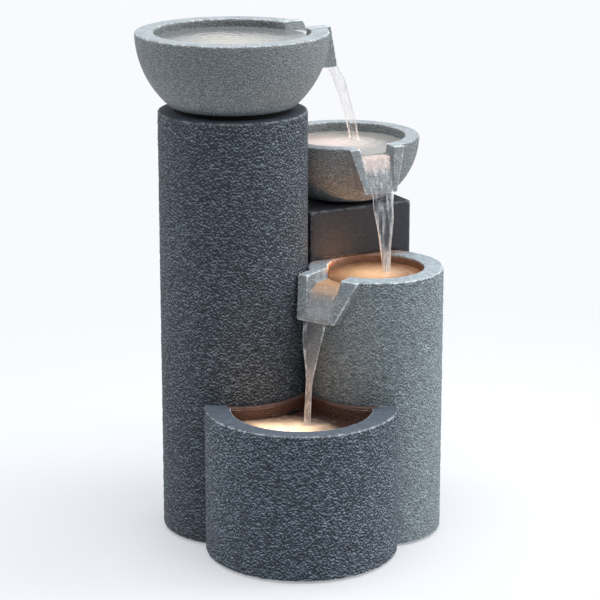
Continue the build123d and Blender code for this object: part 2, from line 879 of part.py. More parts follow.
with BuildPart() as door_gasket:
    add(
        door_layer(
            gasket_outer_radius, ledge_radius, door_width - 2 * door_gap, door_height - 2 * door_gap
        )
    )
    with BuildSketch(door_plane):
        Rectangle(door_inner_width, door_inner_height)
    extrude(amount=2 * column_radius, mode=Mode.SUBTRACT)
    with BuildSketch(door_plane):
        with Locations(*door_screw_spots):
            Circle(door_screw_radius + slip_gap)
    extrude(amount=2 * column_radius, mode=Mode.SUBTRACT)
door_gasket.part.label = "door_gasket"
export_step(door_gasket.part, "parts/door_gasket.step")

with BuildPart() as door_screws:
    with BuildSketch(door_plane.offset(door_head_seat)):
        with Locations(*door_screw_spots):
            Circle(door_head_radius)
    extrude(amount=door_head_height)
    with BuildSketch(door_plane.offset(door_head_seat - door_screw_bite)):
        with Locations(*door_screw_spots):
            Circle(door_screw_radius)
    extrude(amount=door_screw_bite)
door_screws.part.label = "door_screws"
export_step(door_screws.part, "parts/door_screws.step")

# Cord gland low at the back
gland_nut_seat = sqrt(column_inner**2 - gland_nut_radius**2) - slip_gap
with BuildPart() as cord_gland:
    with BuildSketch(gland_plane.offset(gland_seat)):
        Circle(gland_head_radius)
    extrude(amount=gland_head_length)
    fillet(cord_gland.edges().filter_by(GeomType.CIRCLE).sort_by(SortBy.DISTANCE)[-1], radius=edge_round)
    with BuildSketch(gland_plane.offset(gland_nut_seat - gland_nut_length)):
        Circle(gland_stem_radius)
    extrude(amount=gland_seat - gland_nut_seat + gland_nut_length)
    with BuildSketch(gland_plane):
        Circle(gland_bore)
    extrude(amount=2 * column_radius, mode=Mode.SUBTRACT)
cord_gland.part.label = "cord_gland"
export_step(cord_gland.part, "parts/cord_gland.step")

with BuildPart() as gland_nut:
    add(
        hex_nut(
            gland_plane.offset(gland_nut_seat - gland_nut_length),
            gland_nut_radius,
            gland_stem_radius + running_gap,
            gland_nut_length,
        )
    )
gland_nut.part.label = "gland_nut"
export_step(gland_nut.part, "parts/gland_nut.step")

# Lamps: cup with a threaded stem through the floor, board, clear lens, gasket and nut
lamp_spots = [
    raised(top_spot_lamp, top_floor),
    raised(middle_axis, middle_floor),
    raised(basin_axis, basin_floor),
]
reservoir_lamp = reservoir_axis + Vector(reservoir_lamp_x, reservoir_lamp_y)
reservoir_lamp_spot = raised(reservoir_lamp, reservoir_floor_top)
lamp_bore = lamp_radius - lamp_wall - lens_ledge
lens_radius = lamp_radius - lamp_wall
lens_level = lamp_height - lens_thickness
lamp_seats = [spot + Vector(0, 0, lamp_gasket) for spot in lamp_spots]
all_lamp_seats = lamp_seats + [reservoir_lamp_spot]
stem_length = lamp_gasket + basin_floor_thickness + lamp_stem_below_floor


def lamp_cup(seat):
    """Open cup of a lamp with a ledge for its lens."""
    with BuildPart() as cup:
        add(disc(level(seat, seat.Z), lamp_radius, lamp_height))
        add(disc(level(seat, seat.Z + lamp_base), lamp_bore, lamp_height), mode=Mode.SUBTRACT)
        add(disc(level(seat, seat.Z + lens_level), lens_radius, lamp_height), mode=Mode.SUBTRACT)
    return cup.part


def lamp_lens(seat):
    """Clear disc with a slightly domed top."""
    clear_radius = lens_radius - running_gap
    dome_radius = (clear_radius**2 + lens_dome**2) / (2 * lens_dome)
    dome_angle = degrees(asin(clear_radius / dome_radius))
    dome_top = lens_thickness + lens_dome
    with BuildPart() as lens:
        with BuildSketch(upright(seat, seat.Z + lens_level)):
            with BuildLine():
                Line((0, 0), (clear_radius, 0))
                Line((clear_radius, 0), (clear_radius, lens_thickness))
                CenterArc((0, dome_top - dome_radius), dome_radius, 90.0 - dome_angle, dome_angle)
                Line((0, dome_top), (0, 0))
            make_face()
        revolve(axis=turned_axis(seat))
    return lens.part


def stem_lamp(seat):
    """Lamp cup on its stem."""
    with BuildPart() as body:
        add(lamp_cup(seat))
        add(disc(level(seat, seat.Z - stem_length), lamp_stem_radius, stem_length))
    return body.part


with BuildPart() as top_lamp_body:
    add(stem_lamp(lamp_seats[0]))
top_lamp_body.part.label = "top_lamp_body"
export_step(top_lamp_body.part, "parts/top_lamp_body.step")

with BuildPart() as middle_lamp_body:
    add(stem_lamp(lamp_seats[1]))
middle_lamp_body.part.label = "middle_lamp_body"
export_step(middle_lamp_body.part, "parts/middle_lamp_body.step")

with BuildPart() as basin_lamp_body:
    add(stem_lamp(lamp_seats[2]))
basin_lamp_body.part.label = "basin_lamp_body"
export_step(basin_lamp_body.part, "parts/basin_lamp_body.step")

# Lead corners of the reservoir lamp and the pump, on both sides of the riser hose
hose_out = polar(hose_bearing, 1.0)
hose_side = polar(hose_bearing + 90.0, 1.0)
lamp_lead_rise = column_axis + hose_out * lead_rise_distance - hose_side * lead_side
lamp_lead_fall = column_axis + hose_out * lead_fall_distance - hose_side * lead_side
pump_lead_corner = column_axis + hose_out * pump_lead_turn + hose_side * lead_side
pump_lead_fall = column_axis + hose_out * lead_fall_distance + hose_side * lead_side
lamp_lead_way = (lamp_lead_rise - reservoir_lamp).normalized()
lamp_lead_bearing = degrees(atan2(lamp_lead_way.Y, lamp_lead_way.X))
lamp_lead_level = reservoir_floor_top + lead_radius + lead_floor_gap
lamp_boss_end = lamp_radius + lamp_boss_reach

with BuildPart() as reservoir_lamp_body:
    add(
        slab(
            facing(reservoir_lamp, lamp_lead_bearing, reservoir_floor_top + lamp_boss_width / 2),
            lamp_boss_width,
            lamp_boss_width,
            lamp_boss_end,
        )
    )
    add(disc(level(reservoir_lamp, reservoir_floor_top), lamp_bore, lamp_height), mode=Mode.SUBTRACT)
    add(lamp_cup(reservoir_lamp_spot))
reservoir_lamp_body.part.label = "reservoir_lamp_body"
export_step(reservoir_lamp_body.part, "parts/reservoir_lamp_body.step")

with BuildPart() as top_lamp_lens:
    add(lamp_lens(lamp_seats[0]))
top_lamp_lens.part.label = "top_lamp_lens"
export_step(top_lamp_lens.part, "parts/top_lamp_lens.step")

with BuildPart() as middle_lamp_lens:
    add(lamp_lens(lamp_seats[1]))
middle_lamp_lens.part.label = "middle_lamp_lens"
export_step(middle_lamp_lens.part, "parts/middle_lamp_lens.step")

with BuildPart() as basin_lamp_lens:
    add(lamp_lens(lamp_seats[2]))
basin_lamp_lens.part.label = "basin_lamp_lens"
export_step(basin_lamp_lens.part, "parts/basin_lamp_lens.step")

with BuildPart() as reservoir_lamp_lens:
    add(lamp_lens(reservoir_lamp_spot))
reservoir_lamp_lens.part.label = "reservoir_lamp_lens"
export_step(reservoir_lamp_lens.part, "parts/reservoir_lamp_lens.step")

with BuildPart() as lamp_boards:
    for seat in all_lamp_seats:
        add(disc(level(seat, seat.Z + lamp_base), lamp_bore - slip_gap, board_thickness))
        with BuildSketch(level(seat, seat.Z + lamp_base + board_thickness)):
            with PolarLocations(chip_ring, chip_count):
                Rectangle(chip_side, chip_side)
        extrude(amount=chip_height)
lamp_boards.part.label = "lamp_boards"
export_step(lamp_boards.part, "parts/lamp_boards.step")

with BuildPart() as lamp_gaskets:
    for spot in lamp_spots:
        add(ring(level(spot, spot.Z), lamp_radius - lamp_wall, lamp_stem_radius + slip_gap, lamp_gasket))
lamp_gaskets.part.label = "lamp_gaskets"
export_step(lamp_gaskets.part, "parts/lamp_gaskets.step")

with BuildPart() as lamp_nuts:
    for spot in lamp_spots:
        nut_level = spot.Z - basin_floor_thickness - lamp_nut_height
        nut_bore = lamp_stem_radius + running_gap
        add(hex_nut(level(spot, nut_level), lamp_nut_radius, nut_bore, lamp_nut_height))
lamp_nuts.part.label = "lamp_nuts"
export_step(lamp_nuts.part, "parts/lamp_nuts.step")

# Submerged pump: rotor axis along X, outlet straight up behind the axis
pump_outlet = column_axis + hose_out * hose_run
volute_x = pump_outlet.X - volute_length / 2
volute_end = volute_x + volute_length
motor_x = volute_end + pump_gasket_thickness
pump_y = pump_outlet.Y - pump_outlet_offset
motor_under = pump_axis_level - motor_height / 2
motor_top = pump_axis_level + motor_height / 2
barb_base = pump_axis_level + barb_shoulder
barb_top = barb_base + barb_length
well_end = motor_x + rotor_well_depth
cup_height = motor_under - reservoir_floor_top
volute_screw_spots = [
    (side * volute_screw_y, tier * volute_screw_z) for side in (-1, 1) for tier in (-1, 1)
]
cup_spots = [
    Vector(motor_x + motor_length / 2 + along * cup_spacing_x / 2, pump_y + across * cup_spacing_y / 2)
    for along in (-1, 1)
    for across in (-1, 1)
]


def across_pump(x):
    """Plane square to the rotor axis, local x toward the back and local y up."""
    return Plane(origin=(x, pump_y, pump_axis_level), x_dir=(0, 1, 0), z_dir=(1, 0, 0))


with BuildPart() as pump_housing:
    with BuildSketch(across_pump(motor_x)):
        RectangleRounded(motor_width, motor_height, motor_round)
    extrude(amount=motor_length)
    add(disc(across_pump(motor_x), rotor_well_radius, rotor_well_depth), mode=Mode.SUBTRACT)
    add(
        disc(across_pump(motor_x), bush_radius + running_gap, rotor_well_depth + bush_length),
        mode=Mode.SUBTRACT,
    )
    with BuildSketch(across_pump(motor_x)):
        with Locations(*volute_screw_spots):
            Circle(volute_screw_radius + running_gap)
    extrude(amount=volute_screw_bite + slip_gap, mode=Mode.SUBTRACT)
pump_housing.part.label = "pump_housing"
export_step(pump_housing.part, "parts/pump_housing.step")

with BuildPart() as pump_gasket:
    with BuildSketch(across_pump(volute_end)):
        RectangleRounded(motor_width, motor_height, motor_round)
        Circle(chamber_radius, mode=Mode.SUBTRACT)
        with Locations(*volute_screw_spots):
            Circle(volute_screw_radius + slip_gap, mode=Mode.SUBTRACT)
    extrude(amount=pump_gasket_thickness)
pump_gasket.part.label = "pump_gasket"
export_step(pump_gasket.part, "parts/pump_gasket.step")

outlet_spot = Vector(pump_outlet.X, pump_outlet.Y)
with BuildPart() as pump_volute:
    add(disc(across_pump(volute_x), volute_radius, volute_length - volute_flange))
    with BuildSketch(across_pump(volute_end - volute_flange)):
        RectangleRounded(motor_width, motor_height, motor_round)
    extrude(amount=volute_flange)
    add(disc(level(outlet_spot, pump_axis_level), outlet_outer, barb_shoulder))
    add(disc(level(outlet_spot, pump_axis_level), barb_radius, barb_shoulder + barb_length))
    add(disc(across_pump(volute_x + volute_front_wall), chamber_radius, volute_length), mode=Mode.SUBTRACT)
    add(disc(level(outlet_spot, pump_axis_level), barb_bore, far), mode=Mode.SUBTRACT)
    with BuildSketch(across_pump(volute_x)):
        Circle(intake_radius)
        with PolarLocations(0, spider_count):
            Rectangle(intake_radius, spider_width, align=(Align.MIN, Align.CENTER), mode=Mode.SUBTRACT)
        Circle(bush_radius + spider_width, mode=Mode.SUBTRACT)
        Circle(bush_radius + running_gap)
    extrude(amount=volute_front_wall, mode=Mode.SUBTRACT)
    with BuildSketch(across_pump(volute_x)):
        with Locations(*volute_screw_spots):
            Circle(volute_head_radius + slip_gap)
    extrude(amount=volute_length - volute_flange, mode=Mode.SUBTRACT)
    with BuildSketch(across_pump(volute_x)):
        with Locations(*volute_screw_spots):
            Circle(volute_screw_radius + slip_gap)
    extrude(amount=volute_length, mode=Mode.SUBTRACT)
pump_volute.part.label = "pump_volute"
export_step(pump_volute.part, "parts/pump_volute.step")

with BuildPart() as volute_screws:
    with BuildSketch(across_pump(volute_end - volute_flange - volute_head_height)):
        with Locations(*volute_screw_spots):
            Circle(volute_head_radius)
    extrude(amount=volute_head_height)
    with BuildSketch(across_pump(volute_end - volute_flange)):
        with Locations(*volute_screw_spots):
            Circle(volute_screw_radius)
    extrude(amount=volute_flange + pump_gasket_thickness + volute_screw_bite)
volute_screws.part.label = "volute_screws"
export_step(volute_screws.part, "parts/volute_screws.step")

impeller_x = volute_x + volute_front_wall + impeller_front_gap
shroud_x = impeller_x + vane_length
magnet_x = well_end - running_gap - magnet_length - impeller_front_gap
with BuildPart() as pump_impeller:
    with BuildSketch(across_pump(impeller_x)):
        Circle(impeller_hub)
        with PolarLocations(0, vane_count):
            Rectangle(impeller_radius, vane_width, align=(Align.MIN, Align.CENTER))
    extrude(amount=vane_length)
    add(disc(across_pump(shroud_x), impeller_radius, impeller_shroud))
    add(disc(across_pump(shroud_x), impeller_hub, magnet_x - shroud_x))
    add(disc(across_pump(impeller_x), shaft_radius + running_gap, far), mode=Mode.SUBTRACT)
pump_impeller.part.label = "pump_impeller"
export_step(pump_impeller.part, "parts/pump_impeller.step")

with BuildPart() as rotor_magnet:
    add(ring(across_pump(magnet_x), magnet_radius, shaft_radius + running_gap, magnet_length))
rotor_magnet.part.label = "rotor_magnet"
export_step(rotor_magnet.part, "parts/rotor_magnet.step")

with BuildPart() as pump_shaft:
    add(disc(across_pump(volute_x), shaft_radius, well_end + bush_length - volute_x))
pump_shaft.part.label = "pump_shaft"
export_step(pump_shaft.part, "parts/pump_shaft.step")

with BuildPart() as shaft_bushes:
    add(ring(across_pump(volute_x), bush_radius, shaft_radius + running_gap, bush_length))
    add(ring(across_pump(well_end), bush_radius, shaft_radius + running_gap, bush_length))
shaft_bushes.part.label = "shaft_bushes"
export_step(shaft_bushes.part, "parts/shaft_bushes.step")

cover_inner = volute_radius + running_gap
cover_outer = cover_inner + cover_wall
cover_x = volute_x - cover_reach
slot_length = cover_slot_outer - cover_slot_inner
with BuildPart() as intake_cover:
    add(disc(across_pump(cover_x), cover_outer, cover_reach + cover_overlap))
    add(disc(across_pump(cover_x + cover_front_wall), cover_inner, far), mode=Mode.SUBTRACT)
    with BuildSketch(across_pump(cover_x)):
        with PolarLocations((cover_slot_inner + cover_slot_outer) / 2, cover_slot_count):
            SlotOverall(slot_length, cover_slot_width)
        Circle(dial_pin_radius + running_gap)
    extrude(amount=cover_front_wall, mode=Mode.SUBTRACT)
intake_cover.part.label = "intake_cover"
export_step(intake_cover.part, "parts/intake_cover.step")

# Flow dial: windowed disc on the front of the intake cover with a finger tab
dial_x = cover_x - running_gap - dial_thickness
window_length = dial_window_outer - dial_window_inner
with BuildPart() as flow_dial:
    add(disc(across_pump(dial_x), dial_radius, dial_thickness))
    with BuildSketch(across_pump(dial_x)):
        with PolarLocations((dial_window_inner + dial_window_outer) / 2, cover_slot_count):
            SlotOverall(window_length, cover_slot_width)
    extrude(amount=dial_thickness, mode=Mode.SUBTRACT)
    with BuildSketch(across_pump(dial_x - dial_tab_height)):
        Rectangle(dial_tab_width, 2 * dial_window_inner - cover_slot_width)
    extrude(amount=dial_tab_height)
    add(disc(across_pump(dial_x), dial_pin_radius, dial_thickness + cover_front_wall + 3 * running_gap))
    add(
        disc(
            across_pump(cover_x + cover_front_wall + running_gap),
            dial_pin_head,
            dial_pin_head_length,
        )
    )
flow_dial.part.label = "flow_dial"
export_step(flow_dial.part, "parts/flow_dial.step")

with BuildPart() as suction_cups:
    for spot in cup_spots:
        with BuildSketch(upright(spot, reservoir_floor_top)):
            with BuildLine():
                Polyline(
                    (0, cup_height / 4),
                    (cup_lip_radius * 0.7, 0),
                    (cup_lip_radius, 0),
                    (cup_lip_radius, cup_height / 10),
                    (cup_neck_radius, cup_height / 2),
                    (cup_neck_radius, cup_height),
                    (0, cup_height),
                    close=True,
                )
            make_face()
        revolve(axis=turned_axis(spot))
suction_cups.part.label = "suction_cups"
export_step(suction_cups.part, "parts/suction_cups.step")

# Fitting in the top bowl that the riser hose feeds
inlet_seat = top_floor + inlet_washer
inlet_stem_under = top_bowl_under - top_seat_thickness
with BuildPart() as inlet_fitting:
    add(disc(level(top_spot_inlet, inlet_seat), inlet_flange_radius, inlet_flange_height))
    add(
        disc(
            level(top_spot_inlet, inlet_stem_under),
            inlet_stem_radius,
            inlet_seat + inlet_flange_height + inlet_nozzle_height - inlet_stem_under,
        )
    )
    add(disc(level(top_spot_inlet, inlet_stem_under - barb_length), barb_radius, barb_length))
    add(disc(level(top_spot_inlet), barb_bore, far), mode=Mode.SUBTRACT)
inlet_fitting.part.label = "inlet_fitting"
export_step(inlet_fitting.part, "parts/inlet_fitting.step")

with BuildPart() as inlet_gasket:
    add(
        ring(
            level(top_spot_inlet, top_floor),
            inlet_flange_radius,
            inlet_stem_radius + slip_gap,
            inlet_washer,
        )
    )
inlet_gasket.part.label = "inlet_gasket"
export_step(inlet_gasket.part, "parts/inlet_gasket.step")

with BuildPart() as inlet_nut:
    add(
        hex_nut(
            level(top_spot_inlet, top_recess_top - inlet_nut_height),
            inlet_nut_radius,
            inlet_stem_radius + running_gap,
            inlet_nut_height,
        )
    )
inlet_nut.part.label = "inlet_nut"
export_step(inlet_nut.part, "parts/inlet_nut.step")

# Riser hose from the pump, through the reservoir wall, up the tall column
hose_low = barb_top - hose_grip
hose_high = inlet_stem_under - barb_length + hose_grip
hose_points = [
    raised(pump_outlet, hose_low),
    raised(pump_outlet, hose_level),
    raised(top_spot_inlet, hose_level),
    raised(top_spot_inlet, hose_high),
]
with BuildPart() as riser_hose:
    add(cord(hose_points, hose_bend, hose_outer))
    add(cord(hose_points, hose_bend, hose_bore), mode=Mode.SUBTRACT)
riser_hose.part.label = "riser_hose"
export_step(riser_hose.part, "parts/riser_hose.step")

clip_bore = hose_outer + running_gap
with BuildPart() as hose_clips:
    for spot, clip_level in (
        (pump_outlet, barb_base + (barb_length - clip_length) / 2),
        (top_spot_inlet, inlet_stem_under - (barb_length + clip_length) / 2),
    ):
        add(ring(level(spot, clip_level), clip_bore + clip_wall, clip_bore, clip_length))
hose_clips.part.label = "hose_clips"
export_step(hose_clips.part, "parts/hose_clips.step")

grommet_start = sqrt(column_inner**2 - grommet_radius**2) - edge_round
grommet_seat = liner_radius + slip_gap
with BuildPart() as pass_through_grommet:
    add(disc(grommet_plane.offset(grommet_start), grommet_radius, grommet_seat - grommet_start))
    add(disc(grommet_plane.offset(grommet_seat), grommet_radius + grommet_flange_step, grommet_flange))
    with BuildSketch(grommet_plane):
        Circle(hose_outer + slip_gap)
        with Locations((-lead_side, -lead_drop), (lead_side, -lead_drop)):
            Circle(lead_radius + slip_gap)
    extrude(amount=far, mode=Mode.SUBTRACT)
pass_through_grommet.part.label = "pass_through_grommet"
export_step(pass_through_grommet.part, "parts/pass_through_grommet.step")

# Wiring: junction puck in the tall column and the leads that reach it
socket_floor = junction_radius - junction_socket
lead_clear = lead_radius + slip_gap
top_lead_end = junction_top - junction_socket + slip_gap
with BuildPart() as wiring_junction:
    add(disc(level(column_axis, cover_top), junction_radius, junction_height))
    fillet(wiring_junction.edges().group_by(Axis.Z)[-1], radius=edge_round)
    for spot in (top_spot_lamp, lamp_lead_fall, pump_lead_fall):
        add(disc(level(spot, junction_top - junction_socket), lead_clear, far), mode=Mode.SUBTRACT)
    for bearing in (basin_column_bearing, middle_port_bearing):
        add(
            disc(facing(column_axis, bearing, port_level, socket_floor), lead_clear, far),
            mode=Mode.SUBTRACT,
        )
    add(
        disc(facing(column_axis, door_bearing, gland_level, socket_floor), supply_socket_radius, far),
        mode=Mode.SUBTRACT,
    )
wiring_junction.part.label = "wiring_junction"
export_step(wiring_junction.part, "parts/wiring_junction.step")

stem_ends = [seat.Z - stem_length for seat in lamp_seats]
lead_inset = socket_floor + slip_gap
with BuildPart() as top_lamp_lead:
    add(disc(level(top_spot_lamp, top_lead_end), lead_radius, stem_ends[0] - top_lead_end))
top_lamp_lead.part.label = "top_lamp_lead"
export_step(top_lamp_lead.part, "parts/top_lamp_lead.step")

with BuildPart() as middle_lamp_lead:
    add(
        cord(
            [
                raised(middle_axis, stem_ends[1]),
                raised(middle_axis, port_level),
                raised(column_axis + polar(middle_port_bearing, lead_inset), port_level),
            ],
            lead_wide_bend,
            lead_radius,
        )
    )
middle_lamp_lead.part.label = "middle_lamp_lead"
export_step(middle_lamp_lead.part, "parts/middle_lamp_lead.step")

with BuildPart() as basin_lamp_lead:
    add(
        cord(
            [
                raised(basin_axis, stem_ends[2]),
                raised(basin_axis, port_level),
                raised(column_axis + polar(basin_column_bearing, lead_inset), port_level),
            ],
            lead_wide_bend,
            lead_radius,
        )
    )
basin_lamp_lead.part.label = "basin_lamp_lead"
export_step(basin_lamp_lead.part, "parts/basin_lamp_lead.step")

with BuildPart() as reservoir_lamp_lead:
    add(
        cord(
            [
                raised(reservoir_lamp + lamp_lead_way * lamp_boss_end, lamp_lead_level),
                raised(lamp_lead_rise, lamp_lead_level),
                raised(lamp_lead_rise, lead_level),
                raised(lamp_lead_fall, lead_level),
                raised(lamp_lead_fall, top_lead_end),
            ],
            lead_bend,
            lead_radius,
        )
    )
reservoir_lamp_lead.part.label = "reservoir_lamp_lead"
export_step(reservoir_lamp_lead.part, "parts/reservoir_lamp_lead.step")

motor_middle = Vector(motor_x + motor_length / 2, pump_y)
with BuildPart() as pump_lead:
    add(
        cord(
            [
                raised(motor_middle, motor_top),
                raised(motor_middle, lead_level),
                raised(pump_lead_corner, lead_level),
                raised(pump_lead_fall, lead_level),
                raised(pump_lead_fall, top_lead_end),
            ],
            lead_bend,
            lead_radius,
        )
    )
pump_lead.part.label = "pump_lead"
export_step(pump_lead.part, "parts/pump_lead.step")

# Soft bushes where leads pass from one casting into the next
with BuildPart() as port_bushes:
    for bearing, wall in (
        (basin_column_bearing, basin_column_wall),
        (middle_port_bearing, pedestal_wall),
    ):
        add(
            ring(
                facing(column_axis, bearing, port_level, column_inner),
                port_bush_radius,
                lead_clear,
                column_wall + bond_gap + wall,
            )
        )
port_bushes.part.label = "port_bushes"
export_step(port_bushes.part, "parts/port_bushes.step")
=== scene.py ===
import math

import bmesh
import bpy
import numpy as np
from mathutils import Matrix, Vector


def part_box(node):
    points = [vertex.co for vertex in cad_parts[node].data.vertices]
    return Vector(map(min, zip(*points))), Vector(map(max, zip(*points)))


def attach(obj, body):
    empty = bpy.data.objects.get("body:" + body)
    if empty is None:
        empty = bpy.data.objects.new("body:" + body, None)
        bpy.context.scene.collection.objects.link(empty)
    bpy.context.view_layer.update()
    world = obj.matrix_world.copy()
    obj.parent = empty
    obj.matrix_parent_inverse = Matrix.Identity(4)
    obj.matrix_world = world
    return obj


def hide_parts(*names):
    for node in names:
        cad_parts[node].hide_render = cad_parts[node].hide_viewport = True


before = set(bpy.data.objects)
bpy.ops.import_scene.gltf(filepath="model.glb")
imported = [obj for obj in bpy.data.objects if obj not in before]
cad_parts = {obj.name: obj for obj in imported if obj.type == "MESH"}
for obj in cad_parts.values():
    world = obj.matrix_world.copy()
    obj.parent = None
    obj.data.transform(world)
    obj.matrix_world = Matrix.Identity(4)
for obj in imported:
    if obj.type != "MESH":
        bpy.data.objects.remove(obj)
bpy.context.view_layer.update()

MM = 0.001
ROOT = "fountain"

# Camera, in metres and radians, with its lens and sensor in millimetres
CAMERA_PLACE = (0.0072, -1.80623, 0.69666)
CAMERA_PITCH = 0.27323
CAMERA_LENS = 140.45
SENSOR_WIDTH = 36.0

# Sizes of the castings
COLUMN_RADIUS = 59.2 * MM
RESERVOIR_RADIUS = 76.5 * MM
RESERVOIR_OPENING = 55.4 * MM
RESERVOIR_OPENING_SHIFT = 8.4 * MM
COLUMN_LINER = 64.2 * MM
BASIN_LINER = 59.05 * MM
BASIN_COLUMN_RADIUS = 54.05 * MM
BASIN_RADIUS = 38.3 * MM
BASIN_DEPTH = 50.0 * MM
PEDESTAL_YAW = math.radians(28.0)
PEDESTAL_WIDTH = 93.0 * MM
PEDESTAL_DEPTH = 80.0 * MM
PEDESTAL_CENTRE = Vector((38.164, 67.146, 0.0)) * MM
TOP_BOWL_OPENING = 61.2 * MM
MIDDLE_BOWL_OPENING = 49.0 * MM

# Spouts: heights under the rim, and half widths of the beak and of the channel in it
WEIR_DEPTH = 9.0 * MM
LIP_DROP = 33.0 * MM
BEAK_DEPTH = 36.5 * MM
BEAK_HALF_TOP = 24.5 * MM
BEAK_HALF_LIP = 14.5 * MM
CHANNEL_HALF_TOP = 15.0 * MM
CHANNEL_HALF_LIP = 10.5 * MM


def middle_of(node):
    """Middle of a node's box."""
    low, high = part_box(node)
    return (Vector(low) + Vector(high)) / 2


def top_of(node):
    """Height of a node's highest point."""
    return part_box(node)[1][2]


def flat(point):
    """The point on the floor under another."""
    return Vector((point[0], point[1], 0.0))


COLUMN_AXIS = flat(middle_of("top_bowl_seat"))
BASIN_AXIS = flat(middle_of("basin_column_cover"))
MIDDLE_AXIS = flat(middle_of("middle_bowl_seat"))
RESERVOIR_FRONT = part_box("reservoir_basin")[0][1]
RESERVOIR_AXIS = Vector((middle_of("reservoir_basin")[0], RESERVOIR_FRONT + RESERVOIR_RADIUS, 0.0))
RESERVOIR_MOUTH = RESERVOIR_AXIS - Vector((0.0, RESERVOIR_OPENING_SHIFT, 0.0))
COLUMN_TOP = top_of("tall_column")
BASIN_RIM = top_of("basin_column")
RESERVOIR_RIM = top_of("reservoir_basin")
PEDESTAL_TOP = top_of("bowl_pedestal")


class Spout:
    """A spout's sizes, and its own directions: along its run, and to its side."""

    def __init__(
        self, centre, bearing, rim, weir, lip, spill_drop,
        sideways=0.0, wide=BEAK_HALF_TOP, foot=BEAK_HALF_LIP,
    ):
        angle = math.radians(bearing)
        self.along = Vector((math.cos(angle), math.sin(angle), 0.0))
        self.side = Vector((-math.sin(angle), math.cos(angle), 0.0))
        self.start = centre + self.side * sideways
        self.rim = rim
        self.weir = weir
        self.lip = lip
        self.spill = (weir + lip) / 2
        self.spill_depth = WEIR_DEPTH + spill_drop
        self.wide = wide
        self.foot = foot

    def place(self, run, across, height):
        """A point at a run and side distance, at a height over the floor."""
        return self.start + self.along * run + self.side * across + Vector((0.0, 0.0, height))

    def reach(self, points):
        """Run and side distance of an array of points."""
        offset = points - np.array(self.start)
        return offset @ np.array(self.along), offset @ np.array(self.side)


TOP_SPOUT = Spout(
    COLUMN_AXIS, bearing=34.0, rim=top_of("top_bowl"),
    weir=68.7 * MM, lip=91.0 * MM, spill_drop=5.0 * MM,
)
MIDDLE_SPOUT = Spout(
    MIDDLE_AXIS, bearing=-66.0, rim=top_of("middle_bowl"),
    weir=54.95 * MM, lip=70.0 * MM, spill_drop=8.0 * MM,
)
BASIN_SPOUT = Spout(
    BASIN_AXIS, bearing=-122.0, rim=BASIN_RIM,
    weir=43.2 * MM, lip=64.0 * MM, spill_drop=4.0 * MM,
    sideways=-15.0 * MM, wide=31.5 * MM, foot=20.5 * MM,
)


class Wire:
    """An output socket; arithmetic on it adds Math nodes to its tree."""

    def __init__(self, tree, socket):
        self.tree = tree
        self.socket = socket

    def math(self, operation, *values):
        return make(self.tree, "ShaderNodeMath", {"operation": operation}, dict(enumerate(values)))

    def __add__(self, other):
        return self.math("ADD", self, other)

    def __radd__(self, other):
        return self.math("ADD", other, self)

    def __sub__(self, other):
        return self.math("SUBTRACT", self, other)

    def __rsub__(self, other):
        return self.math("SUBTRACT", other, self)

    def __mul__(self, other):
        return self.math("MULTIPLY", self, other)

    def __rmul__(self, other):
        return self.math("MULTIPLY", other, self)

    def __truediv__(self, other):
        return self.math("DIVIDE", self, other)

    def __rtruediv__(self, other):
        return self.math("DIVIDE", other, self)

    def swing(self, size):
        """A noise around one half, as a swing of this size around zero."""
        return (self - 0.5) * size

    def clamp(self):
        """Held between 0 and 1."""
        return make(self.tree, "ShaderNodeClamp", {}, {"Value": self})

    def step(self, low, high):
        """0 below low, 1 above high, smooth between."""
        settings = {"interpolation_type": "SMOOTHSTEP"}
        sockets = {"Value": self, "From Min": low, "From Max": high}
        return make(self.tree, "ShaderNodeMapRange", settings, sockets)


def make(tree, kind, settings=None, sockets=None, out=0):
    """Adds a node: its settings first, then the values or links of its sockets."""
    node = tree.nodes.new(kind)
    for name, value in (settings or {}).items():
        setattr(node, name, value)
    for key, value in (sockets or {}).items():
        if isinstance(value, Wire):
            tree.links.new(value.socket, node.inputs[key])
        else:
            node.inputs[key].default_value = value
    return Wire(tree, node.outputs[out]) if len(node.outputs) else node


def paint(red, green, blue):
    """A colour in linear light from its usual 0 to 255 values."""
    parts = []
    for value in (red, green, blue):
        share = value / 255.0
        parts.append(share / 12.92 if share <= 0.04045 else ((share + 0.055) / 1.055) ** 2.4)
    return (*parts, 1.0)


BLACK = paint(0, 0, 0)


